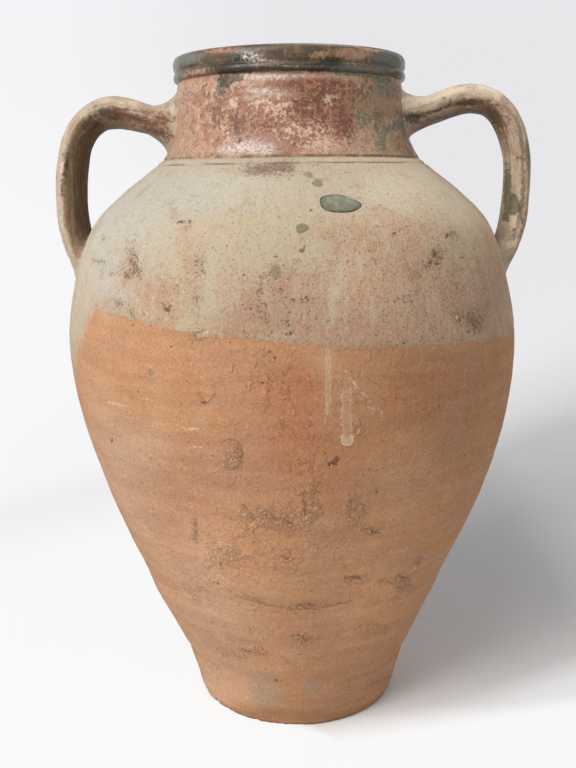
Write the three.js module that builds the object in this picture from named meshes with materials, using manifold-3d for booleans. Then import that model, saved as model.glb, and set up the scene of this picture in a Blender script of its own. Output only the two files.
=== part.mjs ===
// A terracotta olive jar, as the potter builds it: turned sections luted one on another, a rolled rim,
// and two pulled handles set on with wads of clay. Millimetres, +Z up, origin under the foot's centre.
import * as THREE from "three";
import { mergeVertices } from "three/addons/utils/BufferGeometryUtils.js";
import Module from "manifold-3d";

const wasm = await Module();
wasm.setup();

// Heights of the sections, from the ground up
const floorThickness = 12;
const footHeight = 36;
const lowerHeight = 84;
const bellyHeight = 193;
const shoulderHeight = 152;
const neckHeight = 63.5;
const rimHeight = 19.5;

// Outer radii where the sections meet
const footRadius = 89;
const waistRadius = 102.4;
const seamRadius = 138.5;
const bellyRadius = 191.4;
const collarRadius = 109.8;
const neckFootRadius = 108.6;
const neckTopRadius = 93;

// Walls, and the slip that joins the pieces
const wall = 11;
const neckWall = 12;
const slipGap = 0.3;
const tongueHeight = 2.5;
const footBevel = 1.5;
const slopeStep = 2;
const cutDepth = 6;

// The rolled rim, which stands out a little over the neck's top
const rimOverhang = 2.8;
const rollHeight = 6.7;
const rollRound = 1.6;
const grooveDepth = 1.3;
const lipRound = 3.2;
const mouthRound = 2.6;

// The handles. Rise and drop are measured from the collar line, where the neck meets the shoulder,
// and stand-off from the shoulder's skin at the landing. The wad fills the fork between
// handle and shoulder up to the fork's width. A path gives shares of the way out from the neck
// to the farthest reach, of the way down from the apex to the landing, and of the strap's thickness.
const leftHandle = {
  name: "left",
  side: -1,
  apexRise: 41.5,
  landingDrop: 85,
  standOff: 7.5,
  thickness: 26.5,
  width: 42,
  forkWidth: 1,
  pathShares: [
    [0, 0.066, 0.9], [0.22, 0.052, 0.9], [0.33, 0.03, 0.93], [0.435, 0.01, 0.97], [0.576, 0, 1],
    [0.696, 0.018, 0.98], [0.8, 0.068, 0.97], [0.875, 0.132, 0.97], [0.935, 0.218, 0.98], [0.978, 0.34, 1],
    [1, 0.53, 1], [0.997, 0.67, 1], [0.968, 0.8, 1], [0.92, 0.915, 0.96], [0.87, 1, 0.85],
  ],
};
const rightHandle = {
  name: "right",
  side: 1,
  apexRise: 50.5,
  landingDrop: 82,
  standOff: 12.5,
  thickness: 24,
  width: 40,
  forkWidth: 2,
  pathShares: [
    [0, 0.108, 1], [0.151, 0.088, 1], [0.27, 0.06, 1], [0.374, 0.033, 1], [0.535, 0.002, 1], [0.64, 0.004, 0.98],
    [0.76, 0.032, 0.95], [0.845, 0.085, 0.96], [0.92, 0.172, 0.98], [0.97, 0.277, 0.96], [0.995, 0.38, 0.93],
    [1, 0.51, 0.92], [0.997, 0.637, 0.93], [0.985, 0.76, 0.93], [0.95, 0.88, 0.9], [0.89, 1, 0.8],
  ],
};
const handleBite = 8;
const upperWrap = { reach: 22, fall: 4, side: 12 };
const lowerWrap = { outer: 10, inner: 6, tail: 24, side: 10 };
const wadEdge = 1.5;
const wadSink = 0.8;

// Drops of glaze that ran on to the shoulder: where they lie and how large they are
const glazeDrops = [
  { name: "glaze_drop_large", turn: -76.8, tilt: -16, belowCollar: 32.2, across: 28, along: 18.5, thick: 1.6 },
  { name: "glaze_drop_upper", turn: -82, tilt: 0, belowCollar: 18.5, across: 8, along: 6, thick: 1 },
  { name: "glaze_drop_lower", turn: -87.8, tilt: 0, belowCollar: 48.4, across: 8, along: 8, thick: 1 },
];

// Facets: round the jar, up the outside and down the inside of each section, round a handle and along it,
// down a wad, and round a drop
const turns = 48;
const stations = { foot: [4, 3], lower: [5, 4], belly: [9, 6], shoulder: [12, 7], neck: [9, 5] };
const strapSides = 16;
const strapSteps = 30;
const wadSteps = 5;
const dropSides = 12;

// Colours, roughness
const looks = {
  clay: { color: 0xc98a60, roughness: 0.9 },
  slip: { color: 0xc4b092, roughness: 0.85 },
  glaze: { color: 0xa5694c, roughness: 0.3 },
  rimGlaze: { color: 0x6a6150, roughness: 0.25 },
  strap: { color: 0xb58f6c, roughness: 0.5 },
  dropGlaze: { color: 0x66705a, roughness: 0.2 },
};

// Levels that follow from the heights
const floorTop = floorThickness;
const waistLevel = floorTop + footHeight;
const seamLevel = waistLevel + lowerHeight;
const bellyLevel = seamLevel + bellyHeight;
const collarLevel = bellyLevel + shoulderHeight;
const neckTop = collarLevel + neckHeight;
const rimTop = neckTop + rimHeight;
const rimRadius = neckTopRadius + rimOverhang;
const mouthRadius = neckTopRadius - neckWall;

// Outline stations as shares of the way from one named level and radius to the next
const footShares = [[0, 0], [0.354, 0.284], [0.708, 0.642]];
const lowerShares = [[0, 0], [0.226, 0.233], [0.464, 0.482], [0.69, 0.731]];
const bellyShares = [[0, 0], [0.25, 0.39], [0.5, 0.7], [0.76, 0.92]];
const shoulderShares = [[0, 0], [0.22, 0.039], [0.37, 0.099], [0.52, 0.182], [0.67, 0.315], [0.81, 0.562], [0.93, 0.845], [1, 1]];
const neckShares = [[0, 1], [0.04, 0.92], [0.16, 0.61], [0.31, 0.34], [0.52, 0.167], [0.8, 0.064], [1, 0]];

// The strap's section is a rounded lens, and its path is read in small steps
const strapRoundness = 1.75;
const nudgeShare = 0.01;
const tuckShare = 0.05;

function stationsBetween(shares, level0, radius0, level1, radius1) {
  return shares.map(([up, out]) =>
    new THREE.Vector2(radius0 + out * (radius1 - radius0), level0 + up * (level1 - level0)));
}

// The body's outline from the ground to the collar line, and the neck's above it
const bodyOutline = new THREE.SplineCurve([
  ...stationsBetween(footShares, 0, footRadius, waistLevel, waistRadius),
  ...stationsBetween(lowerShares, waistLevel, waistRadius, seamLevel, seamRadius),
  ...stationsBetween(bellyShares, seamLevel, seamRadius, bellyLevel, bellyRadius),
  ...stationsBetween(shoulderShares, bellyLevel, bellyRadius, collarLevel, collarRadius),
]).getPoints(600);
const neckOutline = new THREE.SplineCurve(
  stationsBetween(neckShares, collarLevel, neckTopRadius, neckTop, neckFootRadius),
).getPoints(200);

// The point of an outline at a height
function pointAt(outline, height) {
  const above = outline.findIndex((p) => p.y >= height);
  const i = above < 0 ? outline.length - 1 : Math.max(above, 1);
  const low = outline[i - 1];
  const high = outline[i];
  const share = (height - low.y) / (high.y - low.y);
  return new THREE.Vector2().lerpVectors(low, high, share);
}

// The way up along an outline at a height
function slopeAt(outline, height) {
  const low = pointAt(outline, height - slopeStep);
  const high = pointAt(outline, height + slopeStep);
  return high.sub(low).normalize();
}

// The same point moved inwards, square to the outline, by a wall's thickness
function insideAt(outline, height, thickness) {
  const along = slopeAt(outline, height);
  return pointAt(outline, height).add(new THREE.Vector2(-along.y, along.x).multiplyScalar(thickness));
}

function levelsBetween(low, high, count) {
  return Array.from({ length: count + 1 }, (_, i) => low + (i / count) * (high - low));
}

// A joint face from the outer wall to the inner, with the tongue that keys two sections together
function jointLine(outer, inner) {
  const across = inner.clone().sub(outer);
  const up = new THREE.Vector2(across.y, -across.x).normalize().multiplyScalar(tongueHeight);
  return [
    outer,
    outer.clone().addScaledVector(across, 0.25),
    outer.clone().addScaledVector(across, 0.5).add(up),
    outer.clone().addScaledVector(across, 0.75),
    inner,
  ];
}

const bodyJoint = (level) => jointLine(pointAt(bodyOutline, level), insideAt(bodyOutline, level, wall));
const levelJoint = (radius, level, thickness) =>
  jointLine(new THREE.Vector2(radius, level), new THREE.Vector2(radius - thickness, level));

// A closed profile turned round the jar's axis
function turned(profile) {
  const closed = profile[0].x > 0 || profile.at(-1).x > 0 ? [...profile, profile[0]] : profile;
  return new THREE.LatheGeometry(closed, turns).rotateX(Math.PI / 2);
}

// A turned ring: up the outside, across the top joint, down the inside, and back under the bottom joint
function ring(bottomJoint, outside, topJoint, inside) {
  return turned([...outside, ...topJoint, ...inside, ...bottomJoint.toReversed()]);
}

function bodyRing(bottomJoint, low, high, topJoint, [outerCount, innerCount]) {
  const outside = levelsBetween(low, high, outerCount).slice(1, -1);
  const inside = levelsBetween(low, high, innerCount).slice(1, -1).reverse();
  return ring(
    bottomJoint,
    outside.map((level) => pointAt(bodyOutline, level)),
    topJoint,
    inside.map((level) => insideAt(bodyOutline, level, wall)),
  );
}

function floorDisc() {
  const joint = levelJoint(pointAt(bodyOutline, floorTop).x, floorTop, wall);
  return turned([
    new THREE.Vector2(0, 0),
    new THREE.Vector2(footRadius - footBevel, 0),
    pointAt(bodyOutline, footBevel),
    ...joint,
    new THREE.Vector2(0, floorTop),
  ]);
}

function footWall() {
  const low = floorTop + slipGap;
  const bottomJoint = levelJoint(pointAt(bodyOutline, low).x, low, wall);
  return bodyRing(bottomJoint, low, waistLevel, bodyJoint(waistLevel), stations.foot);
}

function lowerWall() {
  const low = waistLevel + slipGap;
  return bodyRing(bodyJoint(low), low, seamLevel, bodyJoint(seamLevel), stations.lower);
}

function bellyWall() {
  const low = seamLevel + slipGap;
  return bodyRing(bodyJoint(low), low, bellyLevel, bodyJoint(bellyLevel), stations.belly);
}

const collarJoint = (level) => levelJoint(neckFootRadius, level, neckWall);

function shoulderWall() {
  const low = bellyLevel + slipGap;
  const top = [pointAt(bodyOutline, collarLevel), ...collarJoint(collarLevel)];
  return bodyRing(bodyJoint(low), low, collarLevel, top, stations.shoulder);
}

const neckPoint = (level) => pointAt(neckOutline, level);
const neckInside = (level) => neckPoint(level).sub(new THREE.Vector2(neckWall, 0));

function neckCollar() {
  const low = collarLevel + slipGap;
  const [outerCount, innerCount] = stations.neck;
  return ring(
    collarJoint(low),
    levelsBetween(low, neckTop, outerCount).slice(1, -1).map(neckPoint),
    levelJoint(neckTopRadius, neckTop, neckWall),
    levelsBetween(low, neckTop, innerCount).slice(1, -1).reverse().map(neckInside),
  );
}

// The quarter round from one direction to another about a centre
function roundOff(centre, radius, fromAngle, toAngle, count) {
  return Array.from({ length: count + 1 }, (_, i) => {
    const angle = fromAngle + (i / count) * (toAngle - fromAngle);
    return new THREE.Vector2(centre.x + radius * Math.cos(angle), centre.y + radius * Math.sin(angle));
  });
}

function rimBand() {
  const low = neckTop + slipGap;
  const grooveLevel = low + rollHeight;
  const bandBottom = new THREE.Vector2(rimRadius - grooveDepth / 2, grooveLevel + grooveDepth);
  const lip = new THREE.Vector2(rimRadius - lipRound, rimTop - lipRound);
  const mouth = new THREE.Vector2(mouthRadius + mouthRound, rimTop - mouthRound);
  const roll = new THREE.Vector2(rimRadius - rollRound, low + rollRound);
  return turned([
    ...roundOff(roll, rollRound, -Math.PI / 2, 0, 3),
    new THREE.Vector2(rimRadius, grooveLevel - rollRound),
    new THREE.Vector2(rimRadius - grooveDepth, grooveLevel),
    bandBottom,
    ...roundOff(lip, lipRound, 0, Math.PI / 2, 4),
    ...roundOff(mouth, mouthRound, Math.PI / 2, Math.PI, 3),
    ...levelJoint(neckTopRadius, low, neckWall).toReversed(),
  ]);
}

// A mesh's shape as a solid that can be cut, and back
function solidOf(geometry) {
  const bare = new THREE.BufferGeometry().setAttribute("position", geometry.getAttribute("position"));
  if (geometry.index) bare.setIndex(geometry.index);
  const merged = mergeVertices(bare, 1e-4);
  return new wasm.Manifold(new wasm.Mesh({
    numProp: 3,
    vertProperties: merged.getAttribute("position").array,
    triVerts: new Uint32Array(merged.index.array),
  }));
}

function geometryOf(solid) {
  const mesh = solid.getMesh();
  const geometry = new THREE.BufferGeometry();
  geometry.setAttribute("position", new THREE.BufferAttribute(new Float32Array(mesh.vertProperties), 3));
  geometry.setIndex(new THREE.BufferAttribute(new Uint32Array(mesh.triVerts), 1));
  geometry.computeVertexNormals();
  return geometry;
}

// The jar's outer form as a plug, with the sections' own facets and a slip gap proud of them:
// what handles and wads are cut back to
function wallPlug() {
  const proud = (p) => new THREE.Vector2(p.x + slipGap, p.y);
  const body = [
    0,
    ...levelsBetween(floorTop + slipGap, waistLevel, stations.foot[0]),
    ...levelsBetween(waistLevel + slipGap, seamLevel, stations.lower[0]),
    ...levelsBetween(seamLevel + slipGap, bellyLevel, stations.belly[0]),
    ...levelsBetween(bellyLevel + slipGap, collarLevel, stations.shoulder[0]),
  ];
  const neck = levelsBetween(collarLevel + slipGap, neckTop, stations.neck[0]).slice(1);
  return solidOf(turned([
    new THREE.Vector2(0, 0),
    ...body.map((level) => proud(pointAt(bodyOutline, level))),
    proud(new THREE.Vector2(neckFootRadius, collarLevel + slipGap)),
    ...neck.map((level) => proud(neckPoint(level))),
    new THREE.Vector2(rimRadius + slipGap, neckTop - slipGap),
    new THREE.Vector2(rimRadius + slipGap, rimTop),
    new THREE.Vector2(0, rimTop),
  ]));
}

// The handle's centre line in the plane through the jar's axis, with a bite into each wall:
// x is the radius, y half the strap's thickness, z the height
function strapPath(handle) {
  const apex = collarLevel + handle.apexRise;
  const landing = collarLevel - handle.landingDrop;
  const levelOf = (down) => apex - down * (apex - landing);
  const start = neckPoint(levelOf(handle.pathShares[0][1])).x;
  const reach = pointAt(bodyOutline, landing).x + handle.standOff;
  const points = handle.pathShares.map(([out, down, thick]) =>
    new THREE.Vector3(start + out * (reach - start), (thick * handle.thickness) / 2, levelOf(down)));
  return new THREE.CatmullRomCurve3([
    points[0].clone().sub(new THREE.Vector3(handleBite, 0, 0)),
    ...points,
    points.at(-1).clone().sub(new THREE.Vector3(handleBite, 0, handleBite)),
  ]);
}

// A point of the strap's rounded section: angle 0 is its outer side, and a quarter turn is along the jar's Y
function strapPoint(handle, path, share, angle, grow) {
  const { x: radius, y: halfThickness, z: height } = path.getPoint(share);
  const along = path.getTangent(share).setY(0).normalize();
  const power = 2 / strapRoundness;
  const c = Math.cos(angle);
  const s = Math.sin(angle);
  const out = Math.sign(c) * Math.abs(c) ** power * (halfThickness + grow);
  const aside = Math.sign(s) * Math.abs(s) ** power * (handle.width / 2 + grow);
  return new THREE.Vector3(handle.side * (radius - along.z * out), aside, height + along.x * out);
}

// A closed skin over rings of points, with a flat fan at each end
function loft(rings, flip) {
  const sides = rings[0].length;
  const points = rings.flat();
  const middle = (ring) => ring.reduce((sum, p) => sum.add(p), new THREE.Vector3()).divideScalar(sides);
  points.push(middle(rings[0]), middle(rings.at(-1)));
  const faces = [];
  const face = (a, b, c) => faces.push(...(flip ? [a, c, b] : [a, b, c]));
  const last = (rings.length - 1) * sides;
  for (let j = 0; j < sides; j += 1) {
    const next = (j + 1) % sides;
    for (let i = 0; i < rings.length - 1; i += 1) {
      const low = i * sides;
      const high = low + sides;
      face(low + j, low + next, high + next);
      face(low + j, high + next, high + j);
    }
    face(points.length - 2, next, j);
    face(points.length - 1, last + j, last + next);
  }
  const geometry = new THREE.BufferGeometry().setFromPoints(points);
  geometry.setIndex(faces);
  return geometry;
}

const anglesRound = (count) => Array.from({ length: count }, (_, i) => (i / count) * 2 * Math.PI);

function strapSolid(handle, grow) {
  const path = strapPath(handle);
  const rings = levelsBetween(0, 1, strapSteps).map((share) =>
    anglesRound(strapSides).map((angle) => strapPoint(handle, path, share, angle, grow)));
  return solidOf(loft(rings, handle.side > 0));
}

// The share of the path at which it first passes a test
function shareWhere(path, test) {
  return levelsBetween(0, 1, 400).find((share) => test(path.getPoint(share)));
}

// A wad's skin: it flares, tangent to both, from a ring on the handle to a ring on the wall
function wad(handle, ringShare, footPoint, plug, strap) {
  const path = strapPath(handle);
  const grow = slipGap + wadEdge;
  const rings = Array.from({ length: wadSteps + 3 }, () => []);
  for (const angle of anglesRound(strapSides)) {
    const share = ringShare(angle);
    const heading = share < 0.5 ? -nudgeShare : nudgeShare;
    const top = strapPoint(handle, path, share, angle, grow);
    const beyond = strapPoint(handle, path, share + heading, angle, grow);
    const { foot, into } = footPoint(angle);
    const span = top.distanceTo(foot);
    const leave = beyond.sub(top).normalize().multiplyScalar(span);
    const arrive = into.multiplyScalar(span);
    rings[0].push(top.clone().addScaledVector(leave, -tuckShare));
    for (let i = 0; i <= wadSteps; i += 1) {
      const t = i / wadSteps;
      rings[i + 1].push(new THREE.Vector3()
        .addScaledVector(top, 2 * t ** 3 - 3 * t ** 2 + 1)
        .addScaledVector(leave, t ** 3 - 2 * t ** 2 + t)
        .addScaledVector(foot, 3 * t ** 2 - 2 * t ** 3)
        .addScaledVector(arrive, t ** 3 - t ** 2));
    }
    const inward = new THREE.Vector3(-foot.x, -foot.y, 0).normalize();
    rings[wadSteps + 2].push(foot.clone().addScaledVector(inward, cutDepth));
  }
  const shell = solidOf(loft(rings, (handle.side > 0) !== (ringShare(0) < 0.5)));
  return geometryOf(shell.subtract(strap).subtract(plug));
}

// A point just under the jar's skin beside a handle, and the way along the skin to it from the handle's middle
function skinPoint(handle, outline, level, aside, middle) {
  const onSkin = (y, z) =>
    new THREE.Vector3(handle.side * Math.sqrt((pointAt(outline, z).x - wadSink) ** 2 - y ** 2), y, z);
  const foot = onSkin(aside, level);
  const nearer = onSkin(aside * (1 - nudgeShare), level + (middle - level) * nudgeShare);
  return { foot, into: foot.clone().sub(nearer).normalize() };
}

// The wad at the neck fills the fork from just under the rim to just over the collar line
function upperWad(handle, plug, strap) {
  const path = strapPath(handle);
  const start = path.getPoint(0).x + handleBite;
  const share = shareWhere(path, (p) => p.x > start + upperWrap.reach);
  const middle = path.getPoint(shareWhere(path, (p) => p.x > start)).z;
  const highest = neckTop - slipGap;
  const lowest = collarLevel + upperWrap.fall;
  const footPoint = (angle) => {
    const up = Math.cos(angle);
    const level = middle + up * (up > 0 ? highest - middle : middle - lowest);
    const aside = Math.sin(angle) * (handle.width / 2 + upperWrap.side);
    return skinPoint(handle, neckOutline, level, aside, middle);
  };
  return wad(handle, () => share, footPoint, plug, strap);
}

// The level at which the gap between the handle's inner side and the shoulder has narrowed to the fork's width
function forkLevel(handle, path) {
  const innerSide = levelsBetween(0, 1, 400).map((share) => strapPoint(handle, path, share, Math.PI, 0));
  const gap = (p) => Math.abs(p.x) - pointAt(bodyOutline, p.z).x;
  return innerSide.find((p) => p.z < collarLevel && gap(p) < handle.forkWidth).z;
}

// The wad on the shoulder closes the crotch inside the handle and runs out in a tail below it
function lowerWad(handle, plug, strap) {
  const path = strapPath(handle);
  const landing = collarLevel - handle.landingDrop;
  const crest = forkLevel(handle, path) - landing;
  const outerShare = shareWhere(path, (p) => p.z < landing + lowerWrap.outer);
  const innerShare = shareWhere(path, (p) => p.z < landing + crest + lowerWrap.inner);
  const ringShare = (angle) => outerShare + ((1 - Math.cos(angle)) / 2) * (innerShare - outerShare);
  const footPoint = (angle) => {
    const down = Math.cos(angle);
    const level = landing - down * (down > 0 ? lowerWrap.tail : crest);
    const aside = Math.sin(angle) * (handle.width / 2 + lowerWrap.side);
    return skinPoint(handle, bodyOutline, level, aside, landing);
  };
  return wad(handle, ringShare, footPoint, plug, strap);
}

// A lens of glaze lying on the shoulder, a slip gap clear of it
function glazeDrop({ turn, tilt, belowCollar, across, along, thick }) {
  const height = collarLevel - belowCollar;
  const slope = slopeAt(bodyOutline, height);
  const heading = THREE.MathUtils.degToRad(turn);
  const lean = THREE.MathUtils.degToRad(tilt);
  const outward = new THREE.Vector3(Math.cos(heading), Math.sin(heading), 0);
  const up = outward.clone().multiplyScalar(slope.x).setZ(slope.y);
  const aside = new THREE.Vector3(-Math.sin(heading), Math.cos(heading), 0);
  const normal = new THREE.Vector3().crossVectors(aside, up);
  const longWay = aside.clone().multiplyScalar(Math.cos(lean)).addScaledVector(up, Math.sin(lean));
  const shortWay = up.clone().multiplyScalar(Math.cos(lean)).addScaledVector(aside, -Math.sin(lean));
  const centre = outward.clone().multiplyScalar(pointAt(bodyOutline, height).x).setZ(height);
  const layers = [[0.7, -2], [1, -1], [1, 0], [0.8, 0.65], [0.4, 0.95]];
  const rings = layers.map(([size, lift]) =>
    anglesRound(dropSides).map((angle) => centre.clone()
      .addScaledVector(longWay, (Math.cos(angle) * size * across) / 2)
      .addScaledVector(shortWay, (Math.sin(angle) * size * along) / 2)
      .addScaledVector(normal, slipGap + lift * thick)));
  return loft(rings, false);
}

const jar = new THREE.Group();

function place(name, geometry, look) {
  geometry.computeVertexNormals();
  const mesh = new THREE.Mesh(geometry, new THREE.MeshStandardMaterial({ ...look, metalness: 0 }));
  mesh.name = name;
  jar.add(mesh);
}

place("floor_disc", floorDisc(), looks.clay);
place("foot_wall", footWall(), looks.clay);
place("lower_wall", lowerWall(), looks.clay);
place("belly_wall", bellyWall(), looks.clay);
place("shoulder_wall", shoulderWall(), looks.slip);
place("neck_collar", neckCollar(), looks.glaze);
place("rim_band", rimBand(), looks.rimGlaze);

const plug = wallPlug();
for (const handle of [leftHandle, rightHandle]) {
  const clearance = strapSolid(handle, slipGap);
  place(`${handle.name}_handle`, geometryOf(strapSolid(handle, 0).subtract(plug)), looks.strap);
  place(`${handle.name}_upper_wad`, upperWad(handle, plug, clearance), looks.strap);
  place(`${handle.name}_lower_wad`, lowerWad(handle, plug, clearance), looks.strap);
}
for (const drop of glazeDrops) {
  place(drop.name, geometryOf(solidOf(glazeDrop(drop)).subtract(plug)), looks.dropGlaze);
}

export default jar;
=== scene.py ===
import math

import bpy
import numpy as np
from mathutils import Matrix, Vector


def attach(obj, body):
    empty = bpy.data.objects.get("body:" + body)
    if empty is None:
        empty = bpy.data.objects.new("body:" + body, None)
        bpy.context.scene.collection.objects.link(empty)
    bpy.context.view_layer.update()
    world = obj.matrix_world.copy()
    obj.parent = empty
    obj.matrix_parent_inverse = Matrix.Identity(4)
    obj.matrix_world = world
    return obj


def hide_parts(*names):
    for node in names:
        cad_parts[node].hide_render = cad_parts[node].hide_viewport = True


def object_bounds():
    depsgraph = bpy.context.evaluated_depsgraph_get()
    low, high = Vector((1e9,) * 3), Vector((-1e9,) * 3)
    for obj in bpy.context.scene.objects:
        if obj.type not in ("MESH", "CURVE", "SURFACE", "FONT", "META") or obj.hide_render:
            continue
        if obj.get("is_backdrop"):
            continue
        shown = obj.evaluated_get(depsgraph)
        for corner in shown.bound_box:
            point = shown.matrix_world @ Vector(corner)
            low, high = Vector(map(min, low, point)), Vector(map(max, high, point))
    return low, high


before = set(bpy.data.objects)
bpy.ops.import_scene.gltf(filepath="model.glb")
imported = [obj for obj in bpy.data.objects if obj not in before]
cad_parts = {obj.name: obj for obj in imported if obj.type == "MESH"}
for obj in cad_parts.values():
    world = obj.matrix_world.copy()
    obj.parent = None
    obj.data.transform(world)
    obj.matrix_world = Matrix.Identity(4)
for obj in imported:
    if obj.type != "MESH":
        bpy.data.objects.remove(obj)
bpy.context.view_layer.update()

# Working unit, and the seed of the noise in the meshes
MM = 0.001
SEED = 4071

# The photograph's camera, in metres and photograph pixels
PHOTO_WIDTH = 576
PHOTO_HEIGHT = 768
FOCAL_PX = 943.5
PITCH = math.radians(11.967)
ROLL = math.radians(0.511)
EYE = (-0.00688, -0.82528, 0.45848)
SENSOR = 36.0

# The jar leans a little, and its axis wanders as a thrown pot's does: height and shift to the right, in mm
LEAN = -0.00615
WANDER = [(0, -0.9), (56, -0.8), (100, -2.0), (140, -1.2), (180, 0.1), (224, 0.7), (290, -0.5), (350, -1.1),
          (400, -1.0), (450, 0.2), (480, 0.6), (510, 0.0), (560, -0.3)]

# Outline of the skin, from under the foot to the mouth's inner wall: radius and height in mm
FOOT_RUN = [(2, 0.6), (40, 0.6), (78, 0.5), (84.5, 0), (87.2, 0.4), (88.6, 2), (89.2, 4), (90.9, 9),
            (92.8, 17), (95.1, 26), (97.6, 34), (100.2, 42)]
BODY_RUN = [(102.4, 48), (106.3, 57), (110.8, 67), (119.8, 87), (128.8, 106), (138.5, 132), (149.4, 156),
            (159.1, 180), (168.2, 205), (175.5, 228.5), (182, 253), (187.2, 278.5), (190.3, 302),
            (191.4, 325), (190.6, 342), (188.2, 358.5), (183.3, 381), (176.5, 404), (165.7, 427),
            (156.6, 438), (145.5, 448), (134.5, 457.3), (122.4, 466.5), (114.6, 472.6), (110.6, 475.9)]
NECK_RUN = [(109.2, 477), (108.3, 477.7), (107.1, 479.6), (105, 482.6), (102.5, 487), (98.3, 496.7),
            (95.9, 510), (94.3, 526), (93.3, 536)]
RIM_RUN = [(93, 540.5), (94.4, 540.9), (95.5, 541.7), (96, 543.3), (95.9, 545.1), (95.3, 546.6),
           (94.5, 547.5), (94.6, 548.5), (95.4, 549.7), (95.9, 551.6), (96.1, 554), (95.7, 556.6),
           (94.6, 558.7), (92.6, 559.7), (90, 560), (86.6, 559.9), (84.1, 559.2), (82.3, 557.6),
           (81.3, 555), (81, 550), (81, 541)]
RIM_TOP = (90, 560)
FOOT_EDGE = 84.5
WALL = 11.0
NECK_WALL = 12.0

# Levels where one clay section meets the next, the scored line below the collar, and the groove in the rim
FLOOR_LEVEL = 12.0
WAIST_LEVEL = 48.0
SEAM_LEVEL = 132.0
BELLY_LEVEL = 325.0
COLLAR_LEVEL = 477.0
NECK_LEVEL = 540.5
SCORED_LEVEL = 473.9
GROOVE_LEVEL = 547.7

# Columns round the jar, in degrees: fine on the side that the photograph shows, coarser behind
FRONT_STEP = 0.46
BACK_STEP = 1.25
ANGLES = np.radians(np.concatenate([np.arange(-180, 0, FRONT_STEP), np.arange(0, 180, BACK_STEP)]))

# The handles, in mm: path is the share of the way out from the neck, of the way down, and of the thickness.
# ridge is where the strap's edge turns; the next two say how dark its side facing the jar is along the path,
# partly as patina and partly as painted shade; fall is how far above the collar line the upper joint ends;
# the right one ends higher here than in the CAD model
LEFT_HANDLE = {
    "name": "left", "side": -1, "apex": 41.5, "landing": 85, "stand_off": 7.5, "thick": 26.5, "width": 42,
    "fork": 25.6, "fall": 3, "ridge": 0.39,
    "inner_stain_and_shade": ((0, 0.18, 0.3, 0.4, 1), (0.2, 0.3, 0.75, 1.0, 1.0)), "inner_stain_and_shade_edge": (-0.45, 0.95),
    "path": [(0, 0.066, 0.9), (0.22, 0.052, 0.9), (0.33, 0.03, 0.93), (0.435, 0.01, 0.97), (0.576, 0, 1),
             (0.696, 0.018, 0.98), (0.8, 0.068, 0.97), (0.875, 0.132, 0.97), (0.935, 0.218, 0.98),
             (0.978, 0.34, 1), (1, 0.53, 1), (0.997, 0.67, 1), (0.968, 0.8, 1), (0.92, 0.915, 0.96),
             (0.87, 1, 0.85)],
}
RIGHT_HANDLE = {
    "name": "right", "side": 1, "apex": 50.5, "landing": 82, "stand_off": 12.5, "thick": 24, "width": 40,
    "fork": 14.2, "fall": 13, "ridge": 0.27,
    "inner_stain_and_shade": ((0, 0.2, 0.4, 0.5, 0.58, 1), (0.35, 0.3, 0.55, 0.45, 0.15, 0.15)), "inner_stain_and_shade_edge": (0.35, 1.0),
    "path": [(0, 0.108, 1), (0.151, 0.088, 1), (0.27, 0.06, 1), (0.374, 0.033, 1), (0.535, 0.002, 1),
             (0.64, 0.004, 0.98), (0.76, 0.032, 0.95), (0.845, 0.085, 0.96), (0.92, 0.172, 0.98),
             (0.97, 0.277, 0.96), (0.995, 0.38, 0.93), (1, 0.51, 0.92), (0.997, 0.637, 0.93),
             (0.985, 0.76, 0.93), (0.95, 0.88, 0.9), (0.89, 1, 0.8)],
}
HANDLE_BITE = 8.0
ROUNDNESS = 1.62
UPPER_WRAP = {"reach": 24, "side": 13}
LOWER_WRAP = {"outer": 12, "inner": 7, "tail": 27, "side": 11}


# Small maths
def smoothstep(low, high, value):
    t = np.clip((value - low) / (high - low), 0, 1)
    return t * t * (3 - 2 * t)


def gauss(distance, width):
    return np.exp(-((distance / width) ** 2))


def three(a, b, c):
    return np.stack([a, b, c], 1)


def turned(radius, theta, height):
    return three(radius * np.cos(theta), radius * np.sin(theta), height)


def hermite(t, start, end, leave, arrive):
    """The way from start to end that sets off along leave and comes in along arrive."""
    return (start * (2 * t**3 - 3 * t**2 + 1) + leave * (t**3 - 2 * t**2 + t)
            + end * (3 * t**2 - 2 * t**3) + arrive * (t**3 - t**2))


def curve_through(points, per=14):
    """A smooth curve through points of any dimension, and the length along it."""
    p = np.array(points, float)
    step = np.maximum(np.linalg.norm(np.diff(p, axis=0), axis=1), 1e-9)
    at = np.concatenate([[0], np.cumsum(step)])
    slope = np.diff(p, axis=0) / step[:, None]
    weight = (step[1:] / (step[:-1] + step[1:]))[:, None]
    tangent = np.vstack([slope[:1], slope[:-1] * weight + slope[1:] * (1 - weight), slope[-1:]])
    t = np.linspace(0, 1, per, endpoint=False)
    out = [hermite(t[:, None], p[i], p[i + 1], tangent[i] * h, tangent[i + 1] * h)
           for i, h in enumerate(step)]
    place = [at[i] + t * h for i, h in enumerate(step)]
    return np.vstack([*out, p[-1:]]), np.concatenate([*place, at[-1:]])


_order = np.random.RandomState(SEED).permutation(256)
_order = np.concatenate([_order, _order])
_lean = np.random.RandomState(SEED + 1).normal(size=(256, 3))
_lean /= np.linalg.norm(_lean, axis=1)[:, None]


def noise(points, cell, seed=0):
    """Gradient noise, about -1 to 1, with lumps about cell mm across (one number, or one for each axis)."""
    q = points / np.asarray(cell, float) + seed * 17.31
    base = np.floor(q).astype(int)
    f = q - base
    fade = f * f * f * (f * (f * 6 - 15) + 10)
    total = 0
    for shift in np.ndindex(2, 2, 2):
        corner = (base + shift) & 255
        h = _order[_order[_order[corner[:, 0]] + corner[:, 1]] + corner[:, 2]]
        near = np.where(shift, fade, 1 - fade)
        total = total + near.prod(1) * (_lean[h] * (f - shift)).sum(1)
    return total * 1.5


def layered(points, cell, seed=0, octaves=3):
    total = 0
    for k in range(octaves):
        total = total + noise(points, np.asarray(cell, float) / 2**k, seed + k) / 2**k
    return total / 1.5


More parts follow.
